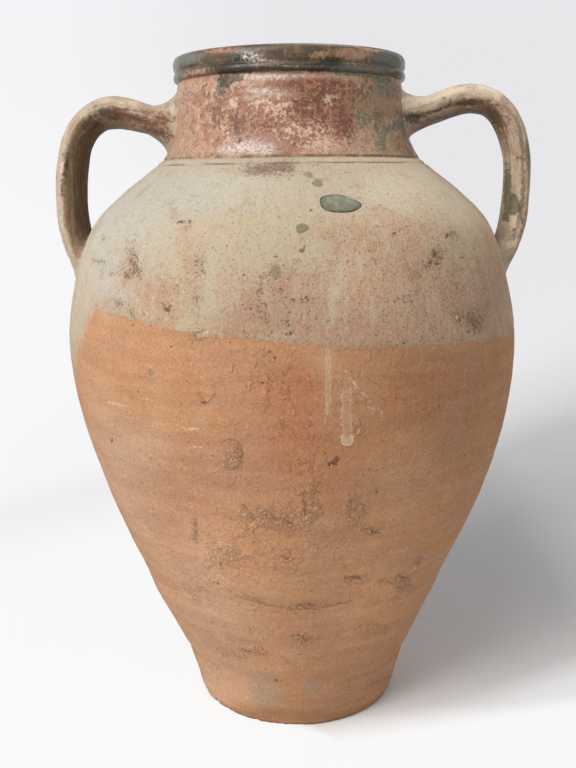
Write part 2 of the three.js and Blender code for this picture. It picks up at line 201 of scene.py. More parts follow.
# The outline as one dense line with its length and its outward direction
LINE, LINE_AT = curve_through(FOOT_RUN + BODY_RUN + NECK_RUN + RIM_RUN)
LINE_TURN = np.gradient(LINE, axis=0)
LINE_OUT = np.stack([LINE_TURN[:, 1], -LINE_TURN[:, 0]], 1)
LINE_OUT /= np.linalg.norm(LINE_OUT, axis=1)[:, None]


def nearest_row(point):
    return int(np.argmin(np.linalg.norm(LINE - point, axis=1)))


# Rows of that line under the foot, and from the foot's side up to the rim's top
UNDER = slice(0, 60)
OUTER = slice(60, nearest_row(RIM_TOP))


def length_at(level):
    """How far along the outline a level lies, on its outer run."""
    return float(np.interp(level, LINE[OUTER, 1], LINE_AT[OUTER]))


def length_under(radius):
    """How far along the outline a radius lies, under the foot."""
    return float(np.interp(radius, LINE[UNDER, 0], LINE_AT[UNDER]))


def radius_at(level):
    return np.interp(level, LINE[OUTER, 1], LINE[OUTER, 0])


def line_point(at):
    return np.stack([np.interp(at, LINE_AT, LINE[:, k]) for k in (0, 1)], -1)


def line_out(at):
    out = np.stack([np.interp(at, LINE_AT, LINE_OUT[:, k]) for k in (0, 1)], -1)
    return out / np.linalg.norm(out, axis=-1, keepdims=True)


def settle(points):
    """Leans a point of the true turned form, in mm, as the real jar leans."""
    out = np.array(points, float)
    heights, shifts = zip(*WANDER)
    out[..., 0] += LEAN * out[..., 2] + np.interp(out[..., 2], heights, shifts)
    return out


# From the jar's skin to the photograph's pixels, for placing marks
_cos_p, _sin_p, _cos_r, _sin_r = math.cos(PITCH), math.sin(PITCH), math.cos(ROLL), math.sin(ROLL)


def to_pixels(points):
    v = points * MM - np.array(EYE)
    ahead = v[:, 1] * _cos_p - v[:, 2] * _sin_p
    up = v[:, 1] * _sin_p + v[:, 2] * _cos_p
    x, y = FOCAL_PX * v[:, 0] / ahead, FOCAL_PX * up / ahead
    return np.stack([PHOTO_WIDTH / 2 + _cos_r * x - _sin_r * y,
                     PHOTO_HEIGHT / 2 - _sin_r * x - _cos_r * y], 1)


def faces_camera(points, normals):
    """1 where the skin faces the photograph's camera, falling to 0 where it turns away."""
    toward = np.array(EYE) / MM - points
    toward /= np.linalg.norm(toward, axis=1)[:, None]
    return smoothstep(0.02, 0.2, (toward * normals).sum(1))


def pixel_to_skin(x, y):
    """Azimuth in degrees and height in mm of the skin at a pixel of the photograph."""
    a, b = x - PHOTO_WIDTH / 2, PHOTO_HEIGHT / 2 - y
    across, up = _cos_r * a + _sin_r * b, -_sin_r * a + _cos_r * b
    ray = np.array([across, FOCAL_PX * _cos_p + up * _sin_p, -FOCAL_PX * _sin_p + up * _cos_p])
    ray /= np.linalg.norm(ray)
    t = np.linspace(450, 1100, 6501)
    p = np.array(EYE) / MM + t[:, None] * ray
    centre = settle(three(0 * t, 0 * t, p[:, 2]))[:, 0]
    reach = np.hypot(p[:, 0] - centre, p[:, 1])
    inside = (p[:, 2] > 0) & (p[:, 2] < RIM_TOP[1]) & (reach <= radius_at(p[:, 2]))
    i = int(np.argmax(inside))
    return math.degrees(math.atan2(p[i, 1], p[i, 0] - centre[i])), p[i, 2]


# Marks, placed in the photograph's pixels. A spot is x, y, half width, half height and, if turned,
# its turn in degrees; a field has its strength before the turn; a line is its points, half width and strength
DARK_SPOTS = [
    (270, 352, 1.6, 1.3), (264, 357, 1.3, 1.1), (275, 358, 1.4, 1.3), (270, 362, 1.6, 1.1),
    (263, 383, 1.3, 1.2), (181, 404, 1.1, 1), (204, 403, 2.2, 1.3), (228, 355, 1.2, 0.9),
    (301, 251, 2.6, 1.6), (304, 248, 1.2, 2.2), (394, 234, 1.3, 1.2), (395, 302, 1.5, 1.5),
    (377, 492, 1.1, 1.1), (276, 681, 1.8, 1.3, 20), (311, 210, 1.6, 1.2), (168, 310, 2.4, 2),
    (376, 384, 0.9, 0.9), (386, 393, 1, 1), (366, 364, 0.9, 0.9), (439, 406, 1, 1), (218, 584, 1.3, 1),
    (288, 334, 4, 1.2), (307, 297, 1.6, 1.4), (302, 299, 1.2, 1), (429, 262, 2.4, 1.4),
    (434, 255, 1.2, 3.4, 20), (426, 266, 3.2, 0.9, 8), (438, 264, 3, 0.9, -12), (293, 332, 1.4, 1),
    (133, 325, 1.6, 1), (276, 256, 2.4, 1.2, 10), (281, 289, 1.2, 1.2), (181, 222, 2.6, 1.2, 10),
    (190, 222, 1.4, 1), (112, 441, 0.9, 2.4), (212, 456, 1, 1), (258, 331, 1, 1), (284, 383, 1, 0.9),
    (404, 343, 1, 1), (352, 372, 1, 0.8), (447, 236, 1.2, 2.6, 20), (330, 465.5, 2.1, 0.9, -25),
    (336, 460, 0.9, 2.6, 10), (333.5, 463, 1, 0.8),
]
DROP_SPOTS = [
    (309, 174.5, 4.4, 2.6, 12), (317.5, 181.5, 4.4, 3, 15), (276, 272, 5.4, 7.5, 5), (151, 372, 3.2, 3.6),
]
PALE_SPOTS = [
    (207, 332, 1.8, 1.5), (115, 404, 5, 0.6, 10), (192, 429, 6, 0.6, -6), (196, 447, 4.4, 0.6),
    (166, 424, 3, 0.5), (457, 318, 1.8, 1.8), (358, 432, 4, 0.6, -60), (150, 400, 3, 0.5, 12),
    (262, 441, 2.4, 0.5), (123, 408, 3, 0.5, 14), (204, 334, 1, 1), (222, 424, 2, 0.5, 30),
    (190, 447, 2, 0.5),
]
GREY_SPOTS = [
    (292, 489, 3.6, 1.8, -8), (266, 694, 17, 14, 5), (262, 681, 14, 8, 10), (310, 688, 9, 6),
    (305, 352, 2, 1.2),
]
# Dirty smudges; the stretched ones along the low seam and the foot's bottom edge are painted shade
SMUDGES_AND_SHADE = [
    (134, 262, 5, 14, 0.95, -8), (128, 275, 5, 4, 0.9), (140, 272, 4, 6, 0.6), (100, 261, 8, 4, 0.7, 8),
    (112, 274, 4, 2.5, 0.6), (104, 239, 2.6, 4, 0.6, 10), (135, 238, 1.6, 5, 0.5), (182, 222, 6, 2, 0.8),
    (192, 222, 3, 1.6, 0.5), (168, 308, 5, 6, 0.8), (118, 303, 7, 5, 0.8, 25), (132, 313, 4, 9, 0.7, -15),
    (196, 334, 7, 4, 0.85, -15), (205, 338, 5, 3, 0.5), (200, 264, 6, 14, 0.65), (199, 299, 5, 6, 0.6),
    (260, 290, 4, 9, 0.75), (268, 276, 6, 5, 0.6), (276, 289, 5, 3, 0.7), (267, 323, 4, 6, 0.6),
    (259, 310, 3, 4, 0.5), (287, 323, 6, 7, 0.5), (302, 300, 9, 4, 0.45), (270, 169, 24, 8, 0.7),
    (286, 168, 10, 5, 0.5), (151, 372, 5, 6, 0.7), (265, 358, 8, 7, 0.7), (204, 398, 8, 6, 0.5),
    (232, 455, 9, 16, 0.75, 4), (280, 425, 4, 14, 0.5, 5), (309, 430, 4, 12, 0.55), (315, 432, 5, 5, 0.4),
    (357, 431, 5, 5, 0.6), (414, 466, 8, 8, 0.5), (430, 403, 5, 3, 0.4), (436, 256, 7, 9, 0.8),
    (428, 266, 5, 3, 0.7), (418, 272, 3, 4, 0.4), (451, 234, 6, 5, 0.6, 30), (462, 256, 3, 4, 0.6),
    (372, 250, 4, 3, 0.5), (394, 236, 3, 3, 0.5), (475, 323, 11, 13, 0.8), (457, 318, 7, 7, 0.6),
    (405, 300, 9, 9, 0.35), (452, 290, 12, 20, 0.3), (195, 530, 3, 13, 0.9), (246, 518, 8, 8, 0.8),
    (268, 516, 16, 5, 0.7, 10), (286, 524, 12, 6, 0.9), (308, 510, 9, 14, 0.6), (355, 512, 7, 13, 0.75),
    (372, 530, 9, 4, 0.95, 15), (221, 553, 12, 9, 0.4), (285, 557, 7, 3, 0.8), (286, 566, 10, 8, 0.45),
    (331, 560, 8, 6, 0.4), (355, 579, 9, 3.6, 0.95), (352, 587, 10, 6, 0.4), (384, 582, 5, 3.6, 0.85),
    (403, 582, 7, 5, 0.85), (400, 586, 9, 6, 0.5), (358, 625, 5, 6, 0.95), (378, 627, 17, 6, 0.75),
    (303, 638, 13, 6, 0.9), (260, 652, 9, 5, 0.85, 15), (244, 652, 5, 5, 0.6), (184, 580, 22, 7, 0.6, 20),
    (232, 592, 18, 3.2, 0.8, 10), (257, 601, 13, 3, 0.85, 12), (304, 606, 15, 2.6, 0.9),
    (345, 602, 22, 5, 0.45, -5), (279, 625, 6, 3, 0.5), (333, 620, 7, 8, 0.4), (382, 650, 20, 12, 0.5),
    (378, 678, 14, 9, 0.6, -15), (312, 690, 13, 9, 0.45), (345, 705, 30, 6, 0.5), (212, 699, 9, 9, 0.8, 40),
    (236, 716, 14, 4, 0.9, 22), (280, 716, 20, 3, 0.5, 4), (330, 716, 30, 3, 0.5, -5),
    (176, 560, 8, 24, 0.35, -20), (160, 455, 20, 14, 0.25), (425, 545, 12, 12, 0.35, 40),
    (415, 560, 10, 4, 0.5, -40), (243, 380, 20, 14, 0.2), (340, 640, 12, 30, 0.25),
]
ROUGH_PATCHES = [
    (232, 457, 9, 17, 1, 8), (262, 518, 26, 9, 1, 5), (290, 524, 14, 9, 0.9), (308, 508, 10, 16, 1),
    (355, 512, 8, 15, 0.9), (372, 531, 8, 4, 0.9), (195, 530, 4, 12, 0.9), (224, 556, 18, 10, 0.9),
    (286, 566, 16, 12, 0.5), (303, 639, 14, 7, 0.7), (253, 650, 14, 5, 0.5), (374, 628, 20, 6, 0.7),
    (134, 264, 8, 15, 0.7), (304, 480, 26, 26, 0.3), (284, 380, 18, 26, 0.12), (404, 583, 9, 7, 0.6),
    (357, 580, 12, 5, 0.6), (325, 548, 40, 20, 0.12), (260, 382, 40, 26, 0.22), (300, 606, 18, 5, 0.5),
    (124, 308, 12, 10, 0.6, 20), (197, 335, 8, 5, 0.8), (272, 280, 14, 16, 0.5), (240, 545, 50, 24, 0.22),
    (357, 432, 6, 6, 0.4), (195, 590, 26, 12, 0.3, 10), (310, 428, 5, 14, 0.35), (280, 423, 5, 14, 0.35),
    (230, 640, 36, 20, 0.15), (352, 602, 30, 5, 0.25, -5),
]
WARM_FIELDS = [
    (292, 395, 34, 34, 1), (300, 385, 10, 16, 0.6), (200, 380, 60, 40, 0.35), (400, 400, 60, 50, 0.4),
    (300, 440, 80, 30, 0.3), (245, 700, 60, 14, -0.3), (330, 480, 60, 40, 0.3), (120, 350, 30, 20, 0.2),
    (240, 620, 60, 40, -0.5), (130, 460, 34, 40, -0.7), (200, 600, 30, 60, -0.5), (220, 680, 40, 30, -0.7),
    (160, 440, 30, 30, -0.5), (200, 540, 40, 40, -0.4), (430, 480, 34, 60, -0.2, 30),
    (300, 590, 60, 14, -0.2), (110, 225, 50, 60, -1), (190, 190, 80, 30, -0.8), (420, 190, 60, 30, -0.3),
    (110, 300, 16, 30, -0.6), (330, 185, 60, 26, -0.25), (255, 236, 55, 18, 0.35), (300, 250, 60, 14, 0.3),
    (430, 385, 50, 40, 0.35), (290, 470, 70, 50, 0.3), (100, 400, 22, 60, -0.5),
    (140, 520, 24, 70, -0.6, -25),
]
PINK_FIELDS = [
    (158, 297, 44, 31, 0.75), (186, 240, 11, 19, 0.6), (262, 300, 38, 34, 1), (305, 305, 30, 40, 1),
    (378, 292, 44, 58, 1), (450, 305, 50, 48, 0.9), (500, 270, 22, 60, 0.9), (330, 338, 120, 10, 0.7),
    (190, 268, 8, 12, 0.5), (425, 235, 44, 34, 0.45, 20), (365, 235, 40, 26, 0.3), (128, 262, 12, 20, 0.5),
    (330, 235, 40, 14, 0.3),
]
PALE_STREAKS = [
    (211, 270, 7, 64, 1), (218, 230, 12, 26, 0.6), (224, 268, 5, 30, 0.6), (208, 326, 6, 12, 0.9),
    (333, 290, 4, 28, 0.8, 2), (340, 275, 3, 22, 0.6, 8), (147, 270, 5, 20, 0.6), (112, 262, 7, 7, 1),
    (238, 250, 8, 20, 0.4), (350, 232, 8, 22, 0.25), (152, 220, 10, 34, 0.5), (180, 190, 10, 20, 0.4),
    (300, 232, 26, 10, 0.3), (88, 300, 8, 40, 0.7), (84, 334, 9, 8, 0.7), (245, 215, 16, 20, 0.3),
]
MAUVE_FIELDS = [
    (262, 168, 20, 7, 0.9, 5), (286, 163, 12, 5, 0.7, -10), (252, 173, 9, 4, 0.6), (476, 324, 9, 12, 0.5),
]
# Painted light and shade: fields that lighten or darken the skin's colour, such as the foot's shaded bottom
# edge
PAINTED_LIGHT_FIELDS = [
    (405, 192, 50, 34, 0.25, 10), (365, 268, 40, 44, 0.16), (220, 570, 70, 60, 0.2),
    (240, 690, 50, 30, 0.16), (370, 600, 30, 60, 0.3, 20), (415, 505, 30, 40, 0.12, 30),
    (485, 300, 18, 30, -0.1), (255, 315, 50, 22, -0.1), (240, 185, 60, 20, 0.08), (85, 260, 20, 50, 0.08),
    (430, 385, 70, 40, -0.1), (400, 480, 40, 40, 0.05), (470, 215, 26, 26, 0.12, 30), (345, 160, 40, 6, 0.1),
    (340, 560, 60, 26, 0.06), (250, 420, 50, 24, 0.04), (250, 714, 60, 8, -0.24), (330, 716, 50, 6, -0.12),
    (290, 650, 44, 34, 0.1), (508, 272, 8, 14, -0.15), (118, 445, 20, 30, -0.05), (205, 590, 26, 24, -0.06),
    (300, 490, 50, 50, 0.05), (432, 538, 18, 14, 0.08), (410, 353, 90, 9, -0.07), (390, 300, 50, 34, 0.06),
    (410, 240, 30, 20, 0.06),
]
SCRATCHES = [
    ([(344, 369), (351, 379), (357, 387), (363, 394), (372, 400)], 1, 1),
    ([(364, 406), (374, 409), (382, 411)], 0.9, 0.6), ([(380, 408), (382, 415)], 1.1, 0.9),
    ([(351, 388), (352, 400)], 0.9, 0.8), ([(107, 402), (118, 404), (129, 408)], 0.5, 0.7),
    ([(182, 428), (198, 429)], 0.6, 0.8), ([(414, 568), (428, 554), (434, 542)], 0.6, 0.5),
    ([(406, 573), (422, 566), (432, 552)], 0.5, 0.5), ([(224, 270), (223, 300), (221, 340)], 0.7, 0.25),
    ([(202, 548), (216, 542), (232, 546)], 0.7, 0.5), ([(206, 562), (214, 572), (226, 578)], 0.7, 0.5),
    ([(340, 275), (345, 268), (346, 250)], 0.8, 0.35),
    ([(341.5, 392), (341.5, 418), (342.5, 436)], 0.9, 0.6),
    ([(352.2, 390), (352.5, 418), (352, 436)], 0.7, 0.5),
    ([(325.5, 352), (325.5, 380), (325, 405)], 0.7, 0.3),
    ([(331.5, 352), (331.5, 385), (330.5, 415)], 0.7, 0.3),
]
# Cracks; the long lines along the low seam are painted shadow under its ridge, with a little relief
CRACKS_AND_SEAM_SHADOW = [
    ([(405, 257), (409, 270), (413, 283), (418, 295), (424, 308), (428, 318), (432, 330)], 0.55, 0.5),
    ([(411, 268), (420, 286), (427, 303)], 0.45, 0.45), ([(405, 290), (411, 305), (418, 316)], 0.45, 0.3),
    ([(328, 466), (332, 463), (336, 464)], 0.9, 1.3), ([(338, 457), (338, 461), (335, 463)], 0.9, 1.3),
    ([(305, 490), (303, 498), (306, 506), (304, 518)], 0.6, 0.8),
    ([(350, 495), (352, 506), (349, 518)], 0.6, 0.7), ([(313, 482), (314, 496)], 0.6, 0.5),
    ([(243, 505), (249, 512), (253, 522)], 0.7, 0.8),
    ([(258, 514), (266, 512), (274, 520), (282, 518), (292, 524)], 0.6, 0.8),
    ([(222, 444), (226, 440), (234, 439), (241, 444), (243, 452), (240, 462)], 0.6, 0.6),
    ([(236, 596), (254, 601), (268, 605), (290, 609), (315, 609), (340, 604), (352, 601)], 1, 0.6),
    ([(244, 596), (254, 598), (262, 600)], 0.7, 0.6), ([(296, 606), (306, 604), (316, 606)], 0.8, 0.9),
    ([(364, 529), (370, 530), (375, 533), (381, 534)], 0.8, 0.9),
    ([(345, 578), (352, 577), (362, 578)], 1, 0.9), ([(280, 556), (286, 558), (292, 557)], 0.8, 1),
    ([(378, 583), (386, 580), (392, 584), (398, 576), (410, 579)], 0.8, 0.7),
    ([(394, 585), (402, 589), (412, 584)], 0.8, 0.6), ([(415, 565), (423, 557)], 1, 0.6),
    ([(198, 392), (203, 399), (207, 404), (212, 398), (217, 393)], 0.6, 0.5),
    ([(366, 685), (378, 682), (390, 676)], 0.8, 0.5),
    ([(290, 636), (298, 634), (306, 640), (314, 637)], 0.7, 0.7),
    ([(244, 650), (254, 653), (264, 655)], 0.7, 0.7), ([(280, 655), (292, 664), (300, 668)], 0.6, 0.4),
    ([(315, 455), (313, 470), (315, 484)], 0.5, 0.4), ([(290, 462), (292, 474)], 0.5, 0.4),
    ([(193, 518), (196, 528), (194, 540)], 0.9, 0.7),
]
WHITE_DRIPS = [
    ([(346.8, 392), (346.8, 415), (347, 434)], 4.6, 0.4), ([(344.5, 438), (349.8, 438)], 3.9, 1.2),
    ([(344.8, 442), (349.2, 442)], 3.6, 1.1), ([(328.2, 350), (328.2, 378), (328, 400)], 2.6, 0.42),
    ([(327.5, 400), (327, 414)], 1.8, 0.5), ([(346.8, 380), (346.8, 392)], 3.4, 0.15),
]

# The slip's lower edge, from left to right, and the azimuths behind between which that edge is soft
SLIP_EDGE = [
    (75, 368), (79, 350), (84, 335), (90, 321), (94, 313), (97, 309.5), (108, 312), (120, 315), (130, 320),
    (140, 322), (150, 326), (165, 329), (180, 331), (191, 332), (194, 337), (206, 338), (213, 336),
    (225, 337), (245, 338), (258, 340), (275, 341), (290, 343), (300, 344), (320, 346), (340, 348),
    (370, 348), (400, 347), (430, 345), (450, 343), (465, 342), (480, 342), (497, 339), (511, 335),
]
SOFT_EDGE_TURNS = ((-141, -147), (-215, -190))

# Glaze on the neck, the rim and the handles
OLIVE_GLAZE = [
    (234, 69, 21, 6), (226, 80, 7, 8, -10), (236, 76, 8, 5, 30), (316, 68, 18, 3.6, 2), (282, 67, 36, 2.2),
    (240, 140, 2, 1.6), (350, 125, 1, 9), (330, 62, 12, 5), (398, 74, 6, 4), (246, 60, 10, 8),
]
TEAL_GLAZE = [
    (348, 70, 26, 4.4, 4), (222, 86, 5, 9, 12), (381, 80, 4.6, 12), (388, 86, 2.6, 10), (376, 74, 12, 4),
    (357, 113, 2.6, 6, -30), (362, 121, 2.4, 6, 20), (369, 119, 3, 3), (381, 142, 4.6, 12),
    (376, 128, 4, 5, -25), (390, 127, 9, 3, -15), (399, 124, 6, 6), (407, 122, 6, 8),
]
BLUE_GLAZE = [(387, 58, 15, 9.5, 6), (188, 59, 10, 6, -15), (402, 62, 5, 12), (176, 66, 3.5, 12)]
CHIP_SPOTS = [
    (221, 50.5, 10, 1.8, -6), (236, 49.5, 4, 1.6, -10), (366, 49, 8, 2.2, 10), (374, 50, 5, 2, 10),
    (212, 52, 3, 1.6),
]
# Bare tan patches on the rim; the long thin one along its lower edge is a paler band with a painted highlight
# on it
RIM_TAN_AND_HIGHLIGHT = [
    (285, 73, 34, 3.4, 1), (322, 56, 12, 6, 0.4), (356, 56, 15, 7, 1, 3), (345, 52, 12, 4, 0.6),
    (282, 50, 26, 4, 0.25), (200, 64, 8, 3, 0.5, -15), (196, 73, 18, 4, 0.8, -14), (318, 54, 18, 6, 0.3),
]
NECK_PALE = [
    (233, 102, 5, 6, 0.9), (236, 108, 14, 10, 0.25), (275, 106, 20, 14, 0.8), (292, 128, 14, 8, 0.4),
    (305, 96, 12, 6, 0.2), (290, 134, 34, 14, 0.4), (322, 147, 24, 7, 0.65), (327, 103, 5, 5, 0.9),
    (232, 140, 8, 8, 0.35), (333, 96, 10, 4, 0.5), (322, 128, 16, 12, 0.5), (225, 128, 8, 12, 0.4),
    (312, 106, 5, 4, 0.5), (256, 103, 6, 4, 0.5), (188, 112, 7, 24, 0.3), (180, 145, 10, 8, 0.3),
]
NECK_RED = [
    (262, 112, 46, 30, 0.78), (310, 108, 36, 28, 1.2), (210, 112, 14, 34, 0.35), (338, 118, 16, 24, 1.1),
    (270, 146, 50, 11, 0.7), (300, 82, 26, 6, 0.9), (196, 126, 10, 20, 0.15), (328, 147, 20, 9, -1.1),
    (325, 90, 24, 10, 0.8),
]
NECK_DARK = [
    (304, 106, 16, 14, 0.9), (290, 84, 20, 5, 0.7), (247, 90, 12, 5, 0.3), (318, 98, 16, 10, 0.6),
    (238, 124, 9, 12, 1.2), (262, 126, 16, 6, 0.5), (332, 95, 12, 12, 0.8), (218, 112, 6, 20, 0.7),
    (345, 126, 9, 16, 0.9), (226, 91, 10, 6, 0.6), (376, 117, 8, 6, 0.7), (358, 92, 8, 10, 0.6),
    (318, 120, 20, 6, 0.5), (330, 84, 20, 6, 0.5), (205, 90, 5, 12, 0.4), (404, 118, 9, 9, 1.2),
    (412, 142, 10, 22, 1.3), (376, 90, 24, 7, 0.5), (340, 107, 6, 10, 0.5), (398, 92, 10, 8, 0.4),
    (200, 154, 60, 2.4, 0.3), (188, 100, 6, 20, 0.35),
]
NECK_OCHRE = [
    (376, 100, 24, 24, 1), (392, 96, 16, 20, 0.6), (330, 145, 26, 12, 0.15), (366, 144, 24, 14, 0.45),
    (350, 128, 8, 8, 0.3), (396, 146, 12, 12, 0.6), (412, 138, 12, 26, 1.2),
]
# Painted highlights: pale glints on the neck's and rim's glaze where it reflects the lamps
NECK_PAINTED_HIGHLIGHTS = [
    (262, 91, 18, 2.6, 0.9), (282, 94, 14, 1.8, 0.5), (232, 150, 16, 5, 0.95, -6), (252, 147, 18, 7, 1, 10),
    (268, 149, 10, 7, 0.6), (266, 78, 22, 3, 0.7), (252, 57, 10, 4.2, 1, 5), (251, 57, 8, 3.2, 0.8, 5),
    (268, 60, 14, 2, 0.5, 5), (285, 76, 44, 1.5, 0.8, 1), (290, 66, 26, 0.9, 0.4, 1), (262, 95, 14, 7, 0.3),
    (335, 75, 14, 0.9, 0.6, 4),
]
STRAP_RED = [
    (128, 117, 16, 6, 1, 22), (146, 124, 12, 7, 1, 18), (158, 128, 10, 8, 0.9, 20),
    (118, 112, 12, 5, 0.6, 10), (152, 112, 16, 5, 0.5, 5), (166, 118, 8, 8, 0.5), (66, 220, 5, 26, 0.3),
    (470, 102, 26, 5, 0.8, 6), (492, 108, 10, 6, 0.7, 40), (432, 112, 20, 3, 0.3, -14),
    (506, 122, 9, 20, 0.4, 20), (524, 210, 5, 30, 0.4), (514, 232, 8, 14, 0.4), (526, 150, 4, 20, 0.4),
]
# Dark brown marks on the straps; those under the arches and in the crevice by the neck are painted shade
STRAP_DARK_AND_SHADE = [
    (140, 120, 16, 2.4, 0.9, 20), (112, 116, 10, 4, 0.8, 30), (92, 124, 14, 10, 0.9, -20),
    (69, 160, 3, 12, 0.7), (61, 188, 2, 6, 0.8), (63, 175, 3, 34, 0.6), (66, 170, 2, 22, 0.6),
    (112, 113, 14, 5, 0.9, 12), (156, 132, 12, 3, 0.8, 18), (415, 116.5, 16, 1.8, 0.9),
    (438, 110, 13, 1.8, 0.9, -20), (468, 103.5, 18, 2.2, 1), (492, 114, 9, 5, 1.2, 42),
    (498, 121, 5, 8, 1.2, -20), (517, 158, 3.6, 4, 0.7), (408, 122, 10, 6, 0.6), (84, 240, 5, 8, 0.5),
    (508, 240, 6, 6, 0.2), (414, 94, 8, 5, 0.45), (168, 138, 8, 8, 0.6), (474, 100, 26, 3, 0.5, 2),
    (499, 238, 3, 6, 0.4), (525, 170, 2, 50, 0.35), (522, 215, 2.4, 24, 0.5),
]
STRAP_TEAL = [
    (507.5, 186, 3.6, 21), (512, 204, 8, 11, -8), (506, 216, 3.4, 5), (413, 118, 6, 5), (494, 117, 5, 3, 50),
]
STRAP_GREY = [
    (528, 156, 3, 14), (83, 243, 3.4, 3), (444, 117, 26, 2.2, -14), (175, 117, 1.6, 2.4),
    (478, 111, 14, 2.2, 10), (98, 106, 5, 1.6, -20), (176, 104, 2, 6),
]
STRAP_PALE = [
    (450, 94, 44, 7, 1.1, -4), (492, 96, 16, 9, 0.8, 35), (512, 110, 8, 16, 0.4, 25),
    (416, 106, 16, 6, 0.8, 10), (515, 222, 6, 24, 0.7), (512, 150, 6, 30, 0.1), (428, 101, 20, 6, 0.7, -12),
    (110, 102, 36, 5, 0.45), (63, 180, 5, 60, 0.35), (178, 108, 8, 8, 0.5), (84, 246, 5, 6, 0.8),
    (505, 246, 8, 8, 0.6), (140, 107, 16, 3, 0.3, 10),
]
STRAP_CRATERS = [(519, 160, 3.4, 3.4), (417, 117, 18, 1.4), (440, 111, 14, 1.4, -18), (68, 163, 2.6, 7)]
# Lines along the straps: creases in the relief, with painted shade along them
STRAP_LINES = [
    ([(70, 150), (69, 185), (70, 220), (74, 246)], 1.4, 0.45),
    ([(112, 112), (92, 118), (76, 136), (70, 152)], 1.6, 0.4),
    ([(174, 122), (158, 118), (146, 113), (132, 110), (116, 110)], 1, 0.8),
    ([(516, 118), (521, 134), (523, 160), (523, 190), (519, 220), (513, 240)], 1.6, 0.9),
    ([(528, 140), (529, 165), (528, 190)], 1.2, 0.5), ([(494, 100), (506, 108), (516, 120)], 1.4, 0.5),
    ([(402, 115), (415, 116.5), (432, 112), (450, 105.5), (470, 103.5)], 1.3, 0.8),
]


# How far outside a mark's edge is still told apart, in pixels, and the same for lines, in half widths
FAR = 6
LINE_FAR = 9.0

# A line is drawn this many half widths aside, and this many pixels past the ends of its parts
LINE_REACH = 5
PAST_ENDS = 0.6


def ellipse(pixels, power, x, y, half_x, half_y, turn=0):
    """0 in the middle of an ellipse and 1 on its edge, growing with a power of the distance."""
    c, s = math.cos(math.radians(turn)), math.sin(math.radians(turn))
    dx, dy = pixels[:, 0] - x, pixels[:, 1] - y
    return np.abs((dx * c + dy * s) / half_x) ** power + np.abs((dy * c - dx * s) / half_y) ** power


def soft_marks(pixels, fields, power=2):
    """Sum of soft fields; a higher power gives flatter ones with firmer edges."""
    total = np.zeros(len(pixels))
    for x, y, half_x, half_y, strength, *turn in fields:
        total += strength * np.exp(-ellipse(pixels, power, x, y, half_x, half_y, *turn))
    return total


def shown_only(inside, face):
    """A distance inside a mark, far outside on skin that the photograph doesn't show."""
    return np.maximum(inside, -FAR) - FAR * (1 - face)


def edge_marks(pixels, spots, face, power=2):
    """Distance inside the nearest spot's edge, in pixels; below zero outside."""
    best = np.full(len(pixels), -float(FAR))
    for spot in spots:
        reach = ellipse(pixels, power, *spot) ** (1 / power)
        best = np.maximum(best, (1 - reach) * min(spot[2:4]))
    return shown_only(best, face)


def line_marks(pixels, lines, face):
    """Sideways distance from the nearest line over its half width, and that line's strength."""
    aside = np.full(len(pixels), LINE_FAR)
    strength = np.zeros(len(pixels))
    for points, half, weight in lines:
        p = np.array(points, float)
        for a, b in zip(p, p[1:]):
            length = np.linalg.norm(b - a)
            way = (b - a) / length
            rel = pixels - a
            along = rel @ way
            side = (rel[:, 0] * way[1] - rel[:, 1] * way[0]) / half
            apart = np.abs(side)
            past = np.maximum(-along, along - length)
            near = (past < PAST_ENDS) & (apart < LINE_REACH) & (apart < np.abs(aside))
            aside[near] = side[near]
            strength[near] = weight
    return aside, strength * face


def drip_marks(pixels, face):
    """Distance inside the nearest pale drip, in pixels, and that drip's strength."""
    best = np.full(len(pixels), -float(FAR))
    strength = np.zeros(len(pixels))
    for points, half, weight in WHITE_DRIPS:
        p = np.array(points, float)
        for a, b in zip(p, p[1:]):
            t = np.clip((pixels - a) @ (b - a) / ((b - a) ** 2).sum(), 0, 1)
            inside = half - np.linalg.norm(pixels - a - t[:, None] * (b - a), axis=1)
            nearer = inside > best
            best[nearer] = inside[nearer]
            strength[nearer] = weight
    return shown_only(best, face), strength * face


def slip_levels():
    """Where the slip ends, as height in mm over azimuth in degrees: as drawn in front, and waving behind."""
    turn, level = np.array([pixel_to_skin(x, y) for x, y in SLIP_EDGE]).T
    behind = np.array([180, 200, 240, 280, 330, 355])
    waving = 350 + 5 * np.sin(np.radians(2.3 * behind)) + 3 * np.sin(np.radians(5.1 * behind))
    turn, level = np.concatenate([turn, behind - 180]), np.concatenate([level, waving])
    order = np.argsort(turn)
    return turn[order], level[order]


SLIP_TURN, SLIP_LEVEL = slip_levels()


def slip_height(theta, level, softened=True):
    """How far a place lies above the slip's lower edge, in mm; scaled down where that edge is soft."""
    turn = (np.degrees(theta) + 180) % 360 - 180
    above = level - np.interp(turn, SLIP_TURN, SLIP_LEVEL, period=360)
    turn = np.where(turn > 0, turn - 360, turn)
    soft = smoothstep(*SOFT_EDGE_TURNS[0], turn) * smoothstep(*SOFT_EDGE_TURNS[1], turn)
    return np.clip(above * (1 - 0.92 * soft * softened), -30, 30)


def rough_places(base, pixels, face, behind):
    """Where the clay is rough: as drawn in front, and by noise behind, as strong there as behind says."""
    return (soft_marks(pixels, ROUGH_PATCHES) * face
            + behind * (1 - face) * smoothstep(0.3, 0.9, layered(base, 42, 22)))


# Relief of the skin: height in mm, size of its lumps in mm, seed
SKIN_WAVES = [(0.5, 130, 3), (0.28, 46, 5), (0.2, (150, 150, 9), 7), (0.07, (90, 90, 4.2), 9),
              (0.09, 4.2, 13)]

# Rings round the neck: level, how far they stand out, half width, and how much they sway
RINGS = [(SCORED_LEVEL, -0.55, 0.75, 0.4), (478.4, -0.5, 0.8, 0), (527.5, 0.4, 2.2, 1),
         (522.5, -0.25, 2.4, 1), (506, 0.3, 4, 2)]


